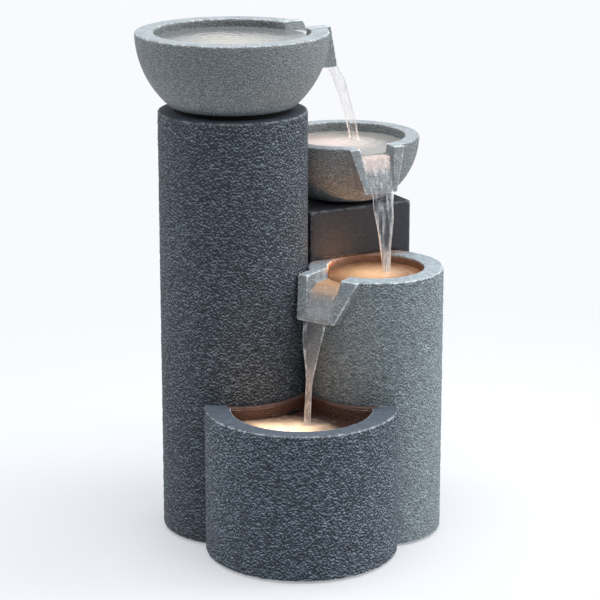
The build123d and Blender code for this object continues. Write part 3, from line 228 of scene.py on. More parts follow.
class Finish:
    """A material being wired: its tree, and short ways to the nodes that the finishes share."""

    def __init__(self, name):
        self.material = bpy.data.materials.new(name)
        self.material.use_nodes = True
        self.tree = self.material.node_tree
        self.tree.nodes.clear()
        self.place = self.node("ShaderNodeTexCoord", out="Object")

    def node(self, kind, settings=None, sockets=None, out=0):
        return make(self.tree, kind, settings, sockets, out)

    def noise(self, scale, detail=2.0, stretch=(1.0, 1.0, 1.0), rough=0.5, lift=0.0, swirl=0.0):
        """Noise with so many waves to the metre, stretched, lifted and swirled."""
        scales = tuple(scale * share for share in stretch)
        place = self.node(
            "ShaderNodeMapping", {}, {"Vector": self.place, "Scale": scales, "Location": (0.0, 0.0, lift)}
        )
        return self.node(
            "ShaderNodeTexNoise",
            {},
            {"Vector": place, "Scale": 1.0, "Detail": detail, "Roughness": rough, "Distortion": swirl},
        )

    def attribute(self, name):
        """A value marked on the piece's own vertices."""
        return self.node("ShaderNodeAttribute", {"attribute_name": name}, out="Fac")

    def distance(self, point):
        """Distance from a fixed point of the object."""
        sockets = {0: self.place, 1: tuple(point)}
        return self.node("ShaderNodeVectorMath", {"operation": "DISTANCE"}, sockets, out="Value")

    def mix(self, factor, first, second):
        """First colour where the factor is 0, second where it is 1."""
        return self.node("ShaderNodeMix", {"data_type": "RGBA"}, {0: factor, 6: first, 7: second}, out=2)

    def tone(self, colour, factor):
        """A colour made darker or lighter by a value around 1."""
        parts = colour if isinstance(colour, Wire) else colour[:3]
        return self.node("ShaderNodeVectorMath", {"operation": "SCALE"}, {0: parts, "Scale": factor})

    def bump(self, height, distance, strength=1.0):
        """Bumps as deep as the distance."""
        sockets = {"Height": height, "Distance": distance, "Strength": strength}
        return self.node("ShaderNodeBump", {}, sockets, out="Normal")

    def surface(self, **sockets):
        """Ends the material in one shader with these sockets."""
        named = {key.replace("_", " "): value for key, value in sockets.items()}
        shader = self.node("ShaderNodeBsdfPrincipled", {}, named)
        self.node("ShaderNodeOutputMaterial", {}, {"Surface": shader})
        return self.material


# Noises of the cast stones, in waves to the metre, and the roughness, shift and swirl of their strokes; the
# shift sets the painted top light: upper slopes lighter, lower slopes darker
STROKES = 1.0 / MM
STROKES_ROUGHNESS = 0.55
PAINTED_EMBOSS_SHIFT = 0.35
SWIRL = 0.6
SPECKLE = 0.7 / MM
BLOTCH = 0.2 / MM
CLOUDS = 16.0

# How much each noise counts, and the heights between which pits fill and ridges take the brush
STROKES_WEIGHT = 1.6
RELIEF_WEIGHT = 0.3
PIT_HEIGHTS = (-0.1, 0.55)
BRUSH_HEIGHTS = (0.5, 1.2)
ROUGH_SHARES = (0.1, 0.6)
SCUFF_LEVEL = 0.75
SCUFF_SWING = 1.6
SCUFF_SHARES = (0.12, 0.8)
MOTTLE_BLOTCH = 1.2
MOTTLE_UNDER_TEXTURE = 0.75
SAWN_GRAIN = 0.12
SPECKLE_GRAIN = 0.15
DRY_ROUGHNESS = 0.78
BRUSHED_GLOSS = 0.12
WET_GLOSS = 0.45


def stone(name, pit, body, ridge, smooth, worn, damp_lamp_glow, weave, depth, painted_emboss, clump, cloud):
    """Cast stone: dark pits, ridges brushed pale, with a painted highlight on upper slopes and painted
    shade on lower slopes as if lit from above, sawn faces, worn edges, damp walls whose damp colour on the
    dark and grey stone is a painted warm lamp glow.
    """
    f = Finish(name)
    wet_and_glow = f.attribute("wet_and_glow")
    strokes, under, above = (
        f.noise(STROKES, 2.0, weave, STROKES_ROUGHNESS, lift, SWIRL)
        for lift in (0.0, -PAINTED_EMBOSS_SHIFT, PAINTED_EMBOSS_SHIFT)
    )
    speckle = f.noise(SPECKLE, 1.0)
    blotch = f.noise(BLOTCH)
    clouds = f.noise(CLOUDS, 3.0)
    # Painted light: the strokes' upper-facing slopes are made lighter and their lower-facing slopes darker,
    # as if lit from above.
    painted_top_light = (under - above) * painted_emboss
    raised = f.attribute("relief").swing(RELIEF_WEIGHT)
    height = 0.5 + strokes.swing(STROKES_WEIGHT) + painted_top_light + raised + blotch.swing(clump)
    brushed = height.step(*BRUSH_HEIGHTS)
    filled = height.step(*PIT_HEIGHTS)
    textured = f.mix(brushed, f.mix(filled, pit, body), ridge)
    texture = f.attribute("rough").step(*ROUGH_SHARES)
    colour = f.mix(texture, smooth, textured)
    rubbing = SCUFF_LEVEL + speckle.swing(SCUFF_SWING) + blotch.swing(SCUFF_SWING)
    scuff = (f.attribute("wear") * rubbing).step(*SCUFF_SHARES)
    colour = f.mix(scuff, colour, worn)
    # Where marked wet, the damp colour: on the dark and grey stone it is a painted warm lamp glow on walls
    # near the lit water.
    colour = f.mix(wet_and_glow, colour, damp_lamp_glow)
    spots = speckle - 0.5 + blotch.swing(MOTTLE_BLOTCH)
    mottle = clouds.swing(2.0 * cloud) + spots * (1.0 - texture * MOTTLE_UNDER_TEXTURE)
    grain = strokes * (SAWN_GRAIN + texture * (1.0 - SAWN_GRAIN)) + speckle * SPECKLE_GRAIN
    return f.surface(
        Base_Color=f.tone(colour, 1.0 + f.attribute("paler") + mottle),
        Roughness=DRY_ROUGHNESS - brushed * BRUSHED_GLOSS - wet_and_glow * WET_GLOSS,
        Normal=f.bump(grain, depth),
    )


# The damp colours of the dark and grey stones are painted warm lamp glow; those of the navy and pale stones
# are plain wet darkening.
STONES = {
    "dark_cast_stone": stone(
        "dark_cast_stone",
        pit=paint(21, 25, 32), body=paint(46, 55, 65), ridge=paint(147, 162, 175),
        smooth=paint(76, 86, 97), worn=paint(170, 178, 185), damp_lamp_glow=paint(82, 50, 34),
        weave=(0.58, 0.58, 0.7), depth=1.8 * MM, painted_emboss=2.6, clump=0.5, cloud=0.14,
    ),
    "grey_cast_stone": stone(
        "grey_cast_stone",
        pit=paint(69, 77, 81), body=paint(116, 127, 132), ridge=paint(181, 192, 197),
        smooth=paint(146, 157, 164), worn=paint(206, 213, 217), damp_lamp_glow=paint(152, 104, 70),
        weave=(0.72, 0.72, 0.74), depth=1.6 * MM, painted_emboss=2.0, clump=0.4, cloud=0.12,
    ),
    "navy_cast_stone": stone(
        "navy_cast_stone",
        pit=paint(40, 42, 48), body=paint(47, 50, 57), ridge=paint(56, 59, 66),
        smooth=paint(50, 53, 60), worn=paint(106, 112, 120), damp_lamp_glow=paint(40, 34, 32),
        weave=(0.3, 0.3, 0.7), depth=0.12 * MM, painted_emboss=0.8, clump=0.0, cloud=0.12,
    ),
    "pale_cast_stone": stone(
        "pale_cast_stone",
        pit=paint(78, 83, 85), body=paint(117, 123, 125), ridge=paint(168, 174, 177),
        smooth=paint(158, 167, 173), worn=paint(208, 214, 218), damp_lamp_glow=paint(110, 110, 108),
        weave=(0.95, 0.95, 0.9), depth=0.7 * MM, painted_emboss=2.2, clump=0.1, cloud=0.06,
    ),
}


def keep(obj):
    """Puts an object into the scene."""
    bpy.context.scene.collection.objects.link(obj)
    return obj


def settle(obj):
    """Turns what the modifiers make into the piece's own plain mesh."""
    graph = bpy.context.evaluated_depsgraph_get()
    made = bpy.data.meshes.new_from_object(
        obj.evaluated_get(graph), preserve_all_data_layers=True, depsgraph=graph
    )
    old = obj.data
    obj.modifiers.clear()
    obj.data = made
    bpy.data.meshes.remove(old)
    return obj


MERGE_DISTANCE = 0.002 * MM
TINY = 1e-12


def copy_of(node, name):
    """A copy of a node's solid, with the doubled corners of its triangles merged."""
    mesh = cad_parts[node].data.copy()
    work = bmesh.new()
    work.from_mesh(mesh)
    bmesh.ops.remove_doubles(work, verts=work.verts, dist=MERGE_DISTANCE)
    work.to_mesh(mesh)
    work.free()
    mesh.materials.clear()
    return keep(bpy.data.objects.new(name, mesh))


def points_of(mesh):
    """Places of a mesh's vertices, one row each."""
    points = np.empty(len(mesh.vertices) * 3)
    mesh.vertices.foreach_get("co", points)
    return points.reshape(-1, 3)


def normals_of(mesh):
    """Normals of a mesh's vertices, one row each."""
    normals = np.empty(len(mesh.vertices) * 3)
    mesh.vertex_normals.foreach_get("vector", normals)
    return normals.reshape(-1, 3)


def edges_of(mesh):
    """The two vertices of each edge of a mesh."""
    ends = np.empty(len(mesh.edges) * 2, dtype=np.int64)
    mesh.edges.foreach_get("vertices", ends)
    return ends.reshape(-1, 2)


def around(values, ends, count):
    """Mean of each vertex's neighbours."""
    total = np.zeros((count,) + values.shape[1:])
    np.add.at(total, ends[:, 0], values[ends[:, 1]])
    np.add.at(total, ends[:, 1], values[ends[:, 0]])
    degree = np.bincount(ends.ravel(), minlength=count).astype(float)
    return total / degree.reshape((-1,) + (1,) * (values.ndim - 1))


def soften(mesh, rounds, pull=0.5, push=-0.52):
    """Takes the steps out of a remeshed casting without shrinking it."""
    points = points_of(mesh)
    ends = edges_of(mesh)
    for number in range(2 * rounds):
        share = pull if number % 2 == 0 else push
        points = points + share * (around(points, ends, len(points)) - points)
    mesh.vertices.foreach_set("co", points.ravel())
    mesh.update()


def convexity(mesh, rounds=2, spread=0.6):
    """How far each vertex stands out from its neighbours, 0 on flat faces."""
    points = points_of(mesh)
    normals = normals_of(mesh)
    ends = edges_of(mesh)
    gap = points[ends[:, 1]] - points[ends[:, 0]]
    gap /= np.linalg.norm(gap, axis=1, keepdims=True) + TINY
    total = np.zeros(len(points))
    np.add.at(total, ends[:, 0], -np.einsum("ij,ij->i", gap, normals[ends[:, 0]]))
    np.add.at(total, ends[:, 1], np.einsum("ij,ij->i", gap, normals[ends[:, 1]]))
    total /= np.bincount(ends.ravel(), minlength=len(points))
    for _ in range(rounds):
        total = (1.0 - spread) * total + spread * around(total, ends, len(total))
    return np.clip(total, 0.0, None)


def mark(mesh, name, values):
    """Marks one value on each vertex, for the finish to read."""
    layer = mesh.attributes.get(name) or mesh.attributes.new(name, "FLOAT", "POINT")
    layer.data.foreach_set("value", np.asarray(values, dtype=np.float32))


def thin_out(obj, hidden, share):
    """Thins the walls inside a casting, which need no fine mesh."""
    inside = hidden(points_of(obj.data))
    group = obj.vertex_groups.new(name="hidden")
    group.add(np.flatnonzero(inside).tolist(), 1.0, "REPLACE")
    thin = obj.modifiers.new("thin", "DECIMATE")
    thin.ratio = 1.0 - inside.mean() * (1.0 - share)
    thin.vertex_group = "hidden"
    settle(obj)
    obj.vertex_groups.clear()


def smooth_step(values, low, high):
    """0 below low, 1 above high, smooth between."""
    share = np.clip((values - low) / (high - low), 0.0, 1.0)
    return share * share * (3.0 - 2.0 * share)


def ease(value, low, high):
    """smooth_step of one number."""
    return float(smooth_step(np.array(value), low, high))


def from_axis(points, axis):
    """Distance of each point from an upright axis."""
    return np.hypot(points[:, 0] - axis[0], points[:, 1] - axis[1])


# How far the marked faces of a spout reach behind its weir, and past their own edges
SPOUT_ROOT = 12.0 * MM
CUT_MARGIN = 1.0 * MM
CHANNEL_MARGIN = 0.3 * MM


def spout_shares(points, spout):
    """Where a spout's cut faces are, and its wet channel."""
    run, across = spout.reach(points)
    drop = spout.rim - points[:, 2]
    half_wide = spout.wide + (BEAK_HALF_LIP - spout.wide) * drop / LIP_DROP
    half_near = BEAK_HALF_TOP + (spout.foot - BEAK_HALF_TOP) * drop / LIP_DROP
    half_channel = CHANNEL_HALF_TOP + (CHANNEL_HALF_LIP - CHANNEL_HALF_TOP) * drop / LIP_DROP
    near = (run > spout.weir - SPOUT_ROOT) & (drop < BEAK_DEPTH)
    cut = near & (across < half_wide + CUT_MARGIN) & (across > -half_near - CUT_MARGIN)
    under_weir = drop > WEIR_DEPTH - CUT_MARGIN
    wet_and_glow = near & (np.abs(across) < half_channel + CHANNEL_MARGIN) & under_weir
    return cut.astype(float), wet_and_glow.astype(float)


RELIEF_INPUTS = {
    "Height": "NodeSocketFloat",
    "Sink": "NodeSocketFloat",
    "Grain": "NodeSocketVector",
    "Stone": "NodeSocketMaterial",
}
RELIEF_BEND = (1.6, 1.6, 1.6)
WAVE_WEIGHT = 1.6
LUMPS_WEIGHT = 0.8


def relief_tree():
    """Hammered relief: wavy ridges over a coarse grain, pressed into the rough faces."""
    tree = bpy.data.node_groups.new("hammered_relief", "GeometryNodeTree")
    tree.interface.new_socket("Geometry", in_out="INPUT", socket_type="NodeSocketGeometry")
    sockets = {}
    for name, kind in RELIEF_INPUTS.items():
        sockets[name] = tree.interface.new_socket(name, in_out="INPUT", socket_type=kind).identifier
    tree.interface.new_socket("Geometry", in_out="OUTPUT", socket_type="NodeSocketGeometry")

    def node(kind, settings=None, inputs=None, out=0):
        return make(tree, kind, settings, inputs, out)

    def given(name):
        return node("NodeGroupInput", out=name)

    def noise(place, scale, detail, rough=0.5, out=0):
        inputs = {"Vector": place, "Scale": scale, "Detail": detail, "Roughness": rough}
        return node("ShaderNodeTexNoise", {}, inputs, out)

    place = node("GeometryNodeInputPosition")
    grain = node("ShaderNodeVectorMath", {"operation": "MULTIPLY"}, {0: place, 1: given("Grain")})
    swirl = noise(grain, scale=0.35, detail=1.0, out="Color")
    bent = node("ShaderNodeVectorMath", {"operation": "MULTIPLY_ADD"}, {0: swirl, 1: RELIEF_BEND, 2: grain})
    wave = noise(bent, scale=0.5, detail=1.5, rough=0.55)
    lumps = noise(bent, scale=0.95, detail=2.0, rough=0.6)
    height = (wave.swing(WAVE_WEIGHT) + lumps.swing(LUMPS_WEIGHT) + 0.5).clamp()
    rough = node("GeometryNodeInputNamedAttribute", {"data_type": "FLOAT"}, {"Name": "rough"})
    lift = (height * given("Height") - given("Sink")) * rough
    normal = node("GeometryNodeInputNormal")
    offset = node("ShaderNodeVectorMath", {"operation": "SCALE"}, {0: normal, "Scale": lift})
    stored = node(
        "GeometryNodeStoreNamedAttribute",
        {"data_type": "FLOAT", "domain": "POINT"},
        {"Geometry": given("Geometry"), "Name": "relief", "Value": height},
    )
    moved = node("GeometryNodeSetPosition", {}, {"Geometry": stored, "Offset": offset})
    real = node("GeometryNodeRealizeInstances", {}, {"Geometry": moved})
    dressed = node("GeometryNodeSetMaterial", {}, {"Geometry": real, "Material": given("Stone")})
    node("NodeGroupOutput", {}, {"Geometry": dressed})
    return tree, sockets


RELIEF, RELIEF_SOCKETS = relief_tree()

# How the fine meshes are made and marked
SOFTEN_ROUNDS = 3
HIDDEN_SHARE = 0.06
WORN_EDGES = (0.04, 0.17)
WEAR_LOST_WHEN_WET = 0.7
CUT_SMOOTHNESS = 0.6
CHANNEL_WETNESS = 0.15
RELIEF_SINK = 0.75


def casting(
    node, slot, voxel, height, grain, rough,
    hidden=None, spout=None, wet_and_glow=None, paler=0.0, body=ROOT,
):
    """A casting's fine mesh over its solid: remeshed, softened, marked and pressed with relief."""
    obj = copy_of(node, node + "_stone")
    remesh = obj.modifiers.new("fine", "REMESH")
    remesh.mode = "VOXEL"
    remesh.voxel_size = voxel
    settle(obj)
    soften(obj.data, SOFTEN_ROUNDS)
    if hidden:
        thin_out(obj, hidden, HIDDEN_SHARE)
    mesh = obj.data
    mesh.shade_smooth()
    points = points_of(mesh)
    nowhere = np.zeros(len(points))
    wear = smooth_step(convexity(mesh), *WORN_EDGES)
    cut, channel = spout_shares(points, spout) if spout else (nowhere, nowhere)
    soaked = wet_and_glow(points) if wet_and_glow else nowhere
    mark(mesh, "rough", rough(points, normals_of(mesh)) * (1.0 - CUT_SMOOTHNESS * cut))
    mark(mesh, "wear", wear * (1.0 - WEAR_LOST_WHEN_WET * soaked))
    # The wet mark gives a wet gloss and, through the damp colour, a painted lamp glow.
    mark(mesh, "wet_and_glow", np.maximum(soaked, CHANNEL_WETNESS * channel))
    mark(mesh, "paler", np.full(len(points), paler))
    press = obj.modifiers.new("relief", "NODES")
    press.node_group = RELIEF
    press[RELIEF_SOCKETS["Height"]] = height
    press[RELIEF_SOCKETS["Sink"]] = height * RELIEF_SINK
    press[RELIEF_SOCKETS["Grain"]] = grain
    press[RELIEF_SOCKETS["Stone"]] = STONES[slot]
    settle(obj)
    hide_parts(node)
    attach(obj, body)
    return obj


# Depths under an outer face or a rim at which a wall counts as hidden, rough or inside
SKIN = 2.6 * MM
WALL_START = 2.0 * MM
WALL_FULL = 0.8 * MM
UNDER_RIM = 2.0 * MM

# How far a face has to turn up to be a top face rather than a wall
UPTURN = (0.25, 0.75)


def within(axis, radius, top):
    """Points inside a round casting's outer skin and under its top face."""
    return lambda points: (from_axis(points, axis) < radius - SKIN) & (points[:, 2] < top - SKIN)


def outer_share(points, axis, radius):
    """1 on a round casting's outer wall, 0 inside it."""
    return smooth_step(from_axis(points, axis), radius - WALL_START, radius - WALL_FULL)


def side_wall(axis, radius, top_share):
    """Rough on the outer wall, with a share of that on the top face."""

    def rough(points, normals):
        side = 1.0 - smooth_step(normals[:, 2], *UPTURN)
        return outer_share(points, axis, radius) * (top_share + (1.0 - top_share) * side)

    return rough


# The basin column: margins around its basin and spout, and how rough and how wet it is; its wet share also
# paints warm lamp glow
BASIN_MARGIN = 2.0 * MM
BASIN_SPOUT_MARGIN = 4.0 * MM
BASIN_WALL = BASIN_RADIUS + 1.0 * MM
BASIN_TOP_ROUGHNESS = 0.04
BASIN_INSIDE_ROUGHNESS = 0.3
BASIN_WETNESS = 0.85
SPLASHED_RIM_WETNESS = 0.7
SPLASHED_RIM = (22.0 * MM, 36.0 * MM)
SPLASH_DEPTH = 8.0 * MM


def basin_hidden(points):
    """The hollow inside of the basin column, apart from its basin and its spout."""
    distance = from_axis(points, BASIN_AXIS)
    height = points[:, 2]
    hollow = within(BASIN_AXIS, BASIN_COLUMN_RADIUS, BASIN_RIM)(points)
    over_floor = height > BASIN_RIM - BASIN_DEPTH - BASIN_MARGIN
    basin = (distance < BASIN_RADIUS + BASIN_MARGIN) & over_floor
    run, across = BASIN_SPOUT.reach(points)
    over_beak = height > BASIN_RIM - BEAK_DEPTH - BASIN_SPOUT_MARGIN
    spout = (np.abs(across) < BEAK_HALF_TOP) & (run > 0.0) & over_beak
    return hollow & ~basin & ~spout


def basin_rough(points, normals):
    """Rough on the basin column's wall, less so inside the basin, nearly smooth on the rim."""
    outer = side_wall(BASIN_AXIS, BASIN_COLUMN_RADIUS, BASIN_TOP_ROUGHNESS)(points, normals)
    inside = (from_axis(points, BASIN_AXIS) < BASIN_WALL) & (points[:, 2] < BASIN_RIM - UNDER_RIM)
    return np.maximum(outer, inside * BASIN_INSIDE_ROUGHNESS)


def basin_wet_and_glow(points):
    """Wet walls of the basin, and its splashed rim in front of the pedestal, which take a wet gloss and a
    painted warm lamp glow.
    """
    wall = (from_axis(points, BASIN_AXIS) < BASIN_WALL) & (points[:, 2] < BASIN_RIM - UNDER_RIM)
    toward = (PEDESTAL_CENTRE - BASIN_AXIS).normalized()
    behind = (points - np.array(BASIN_AXIS)) @ np.array(toward)
    rim = smooth_step(behind, *SPLASHED_RIM) * (points[:, 2] > BASIN_RIM - SPLASH_DEPTH)
    return np.maximum(wall * BASIN_WETNESS, rim * SPLASHED_RIM_WETNESS)


# The reservoir: the height up to which its inside stays unseen, and how rough and how wet it is; its wet
# share also paints warm lamp glow
RESERVOIR_UNSEEN = 40.0 * MM
RESERVOIR_TOP_ROUGHNESS = 0.25
RESERVOIR_INSIDE_ROUGHNESS = 0.5
RESERVOIR_WALL = RESERVOIR_OPENING + 1.0 * MM
LEDGE_REACH = RESERVOIR_OPENING + 4.0 * MM
LINER_SKIN = 0.6 * MM
DRY_RIM = 1.2 * MM
LEDGE_WETNESS = 0.8


def reservoir_hidden(points):
    """The reservoir's inside, far enough down to be under water."""
    inside = from_axis(points, RESERVOIR_AXIS) < RESERVOIR_RADIUS - SKIN
    return (points[:, 2] < RESERVOIR_UNSEEN) & inside


def reservoir_rough(points, normals):
    """Rough on the reservoir's wall, less so inside it and on its rim."""
    wall = side_wall(RESERVOIR_AXIS, RESERVOIR_RADIUS, RESERVOIR_TOP_ROUGHNESS)(points, normals)
    outer = outer_share(points, RESERVOIR_AXIS, RESERVOIR_RADIUS)
    inner = (points[:, 2] < RESERVOIR_RIM - UNDER_RIM) * (1.0 - outer) * RESERVOIR_INSIDE_ROUGHNESS
    return np.maximum(wall, inner)


def reservoir_wet_and_glow(points):
    """Wet walls inside the reservoir up to just under its rim, and a damp ledge along the columns, all with
    a wet gloss and a painted warm lamp glow.
    """
    from_mouth = from_axis(points, RESERVOIR_MOUTH)
    from_column = from_axis(points, COLUMN_AXIS) - COLUMN_LINER
    from_basin = from_axis(points, BASIN_AXIS) - BASIN_LINER
    ledge = (np.minimum(from_column, from_basin) < LINER_SKIN) & (from_mouth < LEDGE_REACH)
    wall = ((from_mouth < RESERVOIR_WALL) | ledge) & (points[:, 2] < RESERVOIR_RIM - DRY_RIM)
    return np.maximum(wall * 1.0, ledge * LEDGE_WETNESS)


def pedestal_hidden(points):
    """The hollow inside of the pedestal."""
    offset = points - np.array(PEDESTAL_CENTRE)
    turn = np.array((math.cos(PEDESTAL_YAW), math.sin(PEDESTAL_YAW), 0.0))
    cross = np.array((-math.sin(PEDESTAL_YAW), math.cos(PEDESTAL_YAW), 0.0))
    wide = np.abs(offset @ turn) < PEDESTAL_WIDTH / 2 - SKIN
    deep = np.abs(offset @ cross) < PEDESTAL_DEPTH / 2 - SKIN
    return wide & deep & (points[:, 2] < PEDESTAL_TOP - SKIN)


# The bowls' rims, which are smoother than their walls
BOWL_RIM_DEPTH = 2.5 * MM
BOWL_RIM_UPTURN = (0.5, 0.9)
BOWL_RIM_SMOOTHNESS = 0.68


def bowl_rough(rim):
    """Grainy outside and inside, quieter on the rim."""

    def rough(points, normals):
        on_rim = smooth_step(normals[:, 2], *BOWL_RIM_UPTURN) * (points[:, 2] > rim - BOWL_RIM_DEPTH)
        return 1.0 - BOWL_RIM_SMOOTHNESS * on_rim

    return rough


def everywhere(points, normals):
    """Rough all over."""
    return np.ones(len(points))


# Relief: its height, and its grain in waves to the metre
HAMMERED = 0.8 * MM
HAMMERED_GRAIN = tuple(share / MM for share in (0.36, 0.36, 0.66))
GRITTY = 0.3 * MM
GRITTY_GRAIN = tuple(share / MM for share in (1.0, 1.0, 1.0))
BRUSHED = 0.15 * MM
BRUSHED_GRAIN = tuple(share / MM for share in (0.2, 0.2, 0.6))
COLUMN_TOP_ROUGHNESS = 0.25

# How much darker or paler a casting is than its stone
DARK_COLUMN = -0.18
PALE_CASTING = 0.1

casting(
    "tall_column", "dark_cast_stone", voxel=1.36 * MM, height=HAMMERED, grain=HAMMERED_GRAIN,
    rough=side_wall(COLUMN_AXIS, COLUMN_RADIUS, COLUMN_TOP_ROUGHNESS),
    hidden=within(COLUMN_AXIS, COLUMN_RADIUS, COLUMN_TOP), paler=DARK_COLUMN,
)
casting(
    "reservoir_basin", "dark_cast_stone", voxel=1.05 * MM, height=HAMMERED, grain=HAMMERED_GRAIN,
    rough=reservoir_rough, hidden=reservoir_hidden, wet_and_glow=reservoir_wet_and_glow, paler=PALE_CASTING,
)
casting(
    "basin_column", "grey_cast_stone", voxel=1.16 * MM, height=HAMMERED, grain=HAMMERED_GRAIN,
    rough=basin_rough, hidden=basin_hidden, spout=BASIN_SPOUT, wet_and_glow=basin_wet_and_glow, paler=PALE_CASTING,
)
casting(
    "bowl_pedestal", "navy_cast_stone", voxel=1.6 * MM, height=BRUSHED, grain=BRUSHED_GRAIN,
    rough=everywhere, hidden=pedestal_hidden,
)
casting(
    "top_bowl", "pale_cast_stone", voxel=0.98 * MM, height=GRITTY, grain=GRITTY_GRAIN,
    rough=bowl_rough(TOP_SPOUT.rim), spout=TOP_SPOUT,
)
casting(
    "middle_bowl", "pale_cast_stone", voxel=0.8 * MM, height=GRITTY, grain=GRITTY_GRAIN,
    rough=bowl_rough(MIDDLE_SPOUT.rim), spout=MIDDLE_SPOUT,
)
casting(
    "door_panel", "dark_cast_stone", voxel=0.9 * MM, height=HAMMERED, grain=HAMMERED_GRAIN,
    rough=side_wall(COLUMN_AXIS, COLUMN_RADIUS, 1.0), paler=DARK_COLUMN, body="service_door",
)

# Noises of the moulded pieces and lenses, in waves to the metre, and how far their gloss varies
MOULDED_GRAIN = 600.0
MOULDED_CLOUDS = 40.0
TURNED_GRAIN = 1500.0
FROST_GRAIN = 900.0
GLOSS_SWING = 0.2


def moulded(
    name, colour, roughness,
    mottle=0.12, grain=MOULDED_GRAIN, depth=0.05 * MM, metal=0.0, shine=0.5,
):
    """Plastic, rubber, ceramic or metal: a slightly uneven colour and a fine surface grain."""
    f = Finish(name)
    fine = f.noise(grain, 3.0)
    broad = f.noise(MOULDED_CLOUDS)
    return f.surface(
        Base_Color=f.tone(colour, 1.0 + broad.swing(2.0 * mottle) + fine.swing(mottle)),
        Roughness=roughness + fine.swing(GLOSS_SWING),
        Metallic=metal,
        Specular_IOR_Level=shine,
        Normal=f.bump(fine, depth, strength=0.5),
    )


def lit_lens(name, colour, glow, strength=3.0, depth=0.1 * MM):
    """A frosted lens with its lamp on."""
    f = Finish(name)
    frost = f.noise(FROST_GRAIN)
    return f.surface(
        Base_Color=f.tone(colour, 0.9 + frost * 0.2),
        Roughness=0.35 + frost * GLOSS_SWING,
        Emission_Color=f.tone(glow, 0.85 + frost * 0.3),
        Emission_Strength=strength,
        Normal=f.bump(frost, depth, strength=0.4),
    )


FINISHES = {
    "black_rubber": moulded("black_rubber", paint(24, 24, 25), roughness=0.9, shine=0.15),
    "black_plastic": moulded("black_plastic", paint(38, 39, 41), roughness=0.45),
    "grey_plastic": moulded("grey_plastic", paint(120, 123, 126), roughness=0.45),
    "screw_steel": moulded(
        "screw_steel", paint(170, 172, 175), roughness=0.32,
        mottle=0.06, grain=TURNED_GRAIN, depth=0.02 * MM, metal=1.0,
    ),
    "warm_lens": lit_lens("warm_lens", paint(240, 226, 200), glow=paint(255, 206, 140)),
    "white_board": moulded("white_board", paint(226, 228, 226), roughness=0.5),
    "ferrite": moulded("ferrite", paint(52, 52, 54), roughness=0.55),
    "shaft_ceramic": moulded("shaft_ceramic", paint(225, 222, 214), roughness=0.3),
    "black_hose": moulded("black_hose", paint(30, 30, 32), roughness=0.5),
    "black_lead": moulded("black_lead", paint(28, 28, 29), roughness=0.55),
}
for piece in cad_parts.values():
    for place in piece.material_slots:
        kind = place.material.name
        place.material = FINISHES.get(kind) or STONES.get(kind) or place.material

# Water levels, and where the water enters each pool
TOP_LEVEL = TOP_SPOUT.rim - 6.2 * MM
MIDDLE_LEVEL = MIDDLE_SPOUT.rim - 7.6 * MM
BASIN_LEVEL = BASIN_SPOUT.rim - 6.8 * MM
RESERVOIR_LEVEL = RESERVOIR_RIM - 11.1 * MM
INLET = middle_of("inlet_fitting")
TOP_LANDING = Vector((52.5, 77.0, 0.0)) * MM
MIDDLE_LANDING = Vector((76.6, 3.1, 0.0)) * MM
BASIN_LANDING = Vector((12.6, -72.4, 0.0)) * MM
POOL_HEART = RESERVOIR_MOUTH - Vector((0.0, 14.0 * MM, 0.0))

# Water's look: its noises in waves to the metre, its foam and its ripples
WATER_IOR = 1.33
WATER_ROUGHNESS = 0.06
WATER_SWIRL = 90.0
WATER_RIPPLE = 220.0
WATER_BUMP = 0.6 * MM
LIGHT_SWIRL = 0.3
SHORE_FADE = (0.55, 1.0)
FOAM = paint(226, 222, 216)
FOAM_REACH = 30.0 * MM
FOAM_RIPPLE = 0.9
FOAM_EDGE = (0.1, 1.0)
FOAM_ROUGHNESS = 0.3
RIPPLE_HEIGHT = 0.3 * MM
RIPPLE_LENGTH = 1.5 * MM
RIPPLE_FADE = 12.0 * MM


def pool_water(name, deep, lit, glow, lamp, spread, strength, entry, foam, fade=0.0):
    """Rippled water over a lamp: light fades from the lamp to the shore, foam from where a stream lands."""
    f = Finish(name)
    from_lamp = f.distance(lamp)
    from_entry = f.distance((entry[0], entry[1], lamp[2]))
    swirl = f.noise(WATER_SWIRL)
    ripple = f.noise(WATER_RIPPLE)
    near = 1.0 - (from_lamp / spread + swirl.swing(LIGHT_SWIRL)).step(0.0, 1.0)
    near = near * (1.0 - f.attribute("shore").step(*SHORE_FADE) * fade)
    froth = (1.0 - (from_entry / FOAM_REACH + ripple.swing(FOAM_RIPPLE)).step(*FOAM_EDGE)) * foam
    return f.surface(
        Base_Color=f.mix(froth, f.mix(near, deep, lit), FOAM),
        Roughness=WATER_ROUGHNESS + froth * FOAM_ROUGHNESS,
        IOR=WATER_IOR,
        Emission_Color=f.mix(near, BLACK, glow),
        Emission_Strength=strength,
        Normal=f.bump(ripple, WATER_BUMP, strength=0.5),
    )


def ripple_height(x, y, entry):
    """Rings around where a stream enters, dying out with distance."""
    distance = math.hypot(x - entry[0], y - entry[1])
    return RIPPLE_HEIGHT * math.cos(distance / RIPPLE_LENGTH) * math.exp(-distance / RIPPLE_FADE)


def water_piece(work, name, material):
    """Ends a water mesh as a piece of the fountain."""
    bmesh.ops.recalc_face_normals(work, faces=work.faces)
    mesh = bpy.data.meshes.new(name)
    work.to_mesh(mesh)
    work.free()
    mesh.shade_smooth()
    mesh.materials.append(material)
    obj = keep(bpy.data.objects.new(name, mesh))
    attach(obj, ROOT)
    return obj


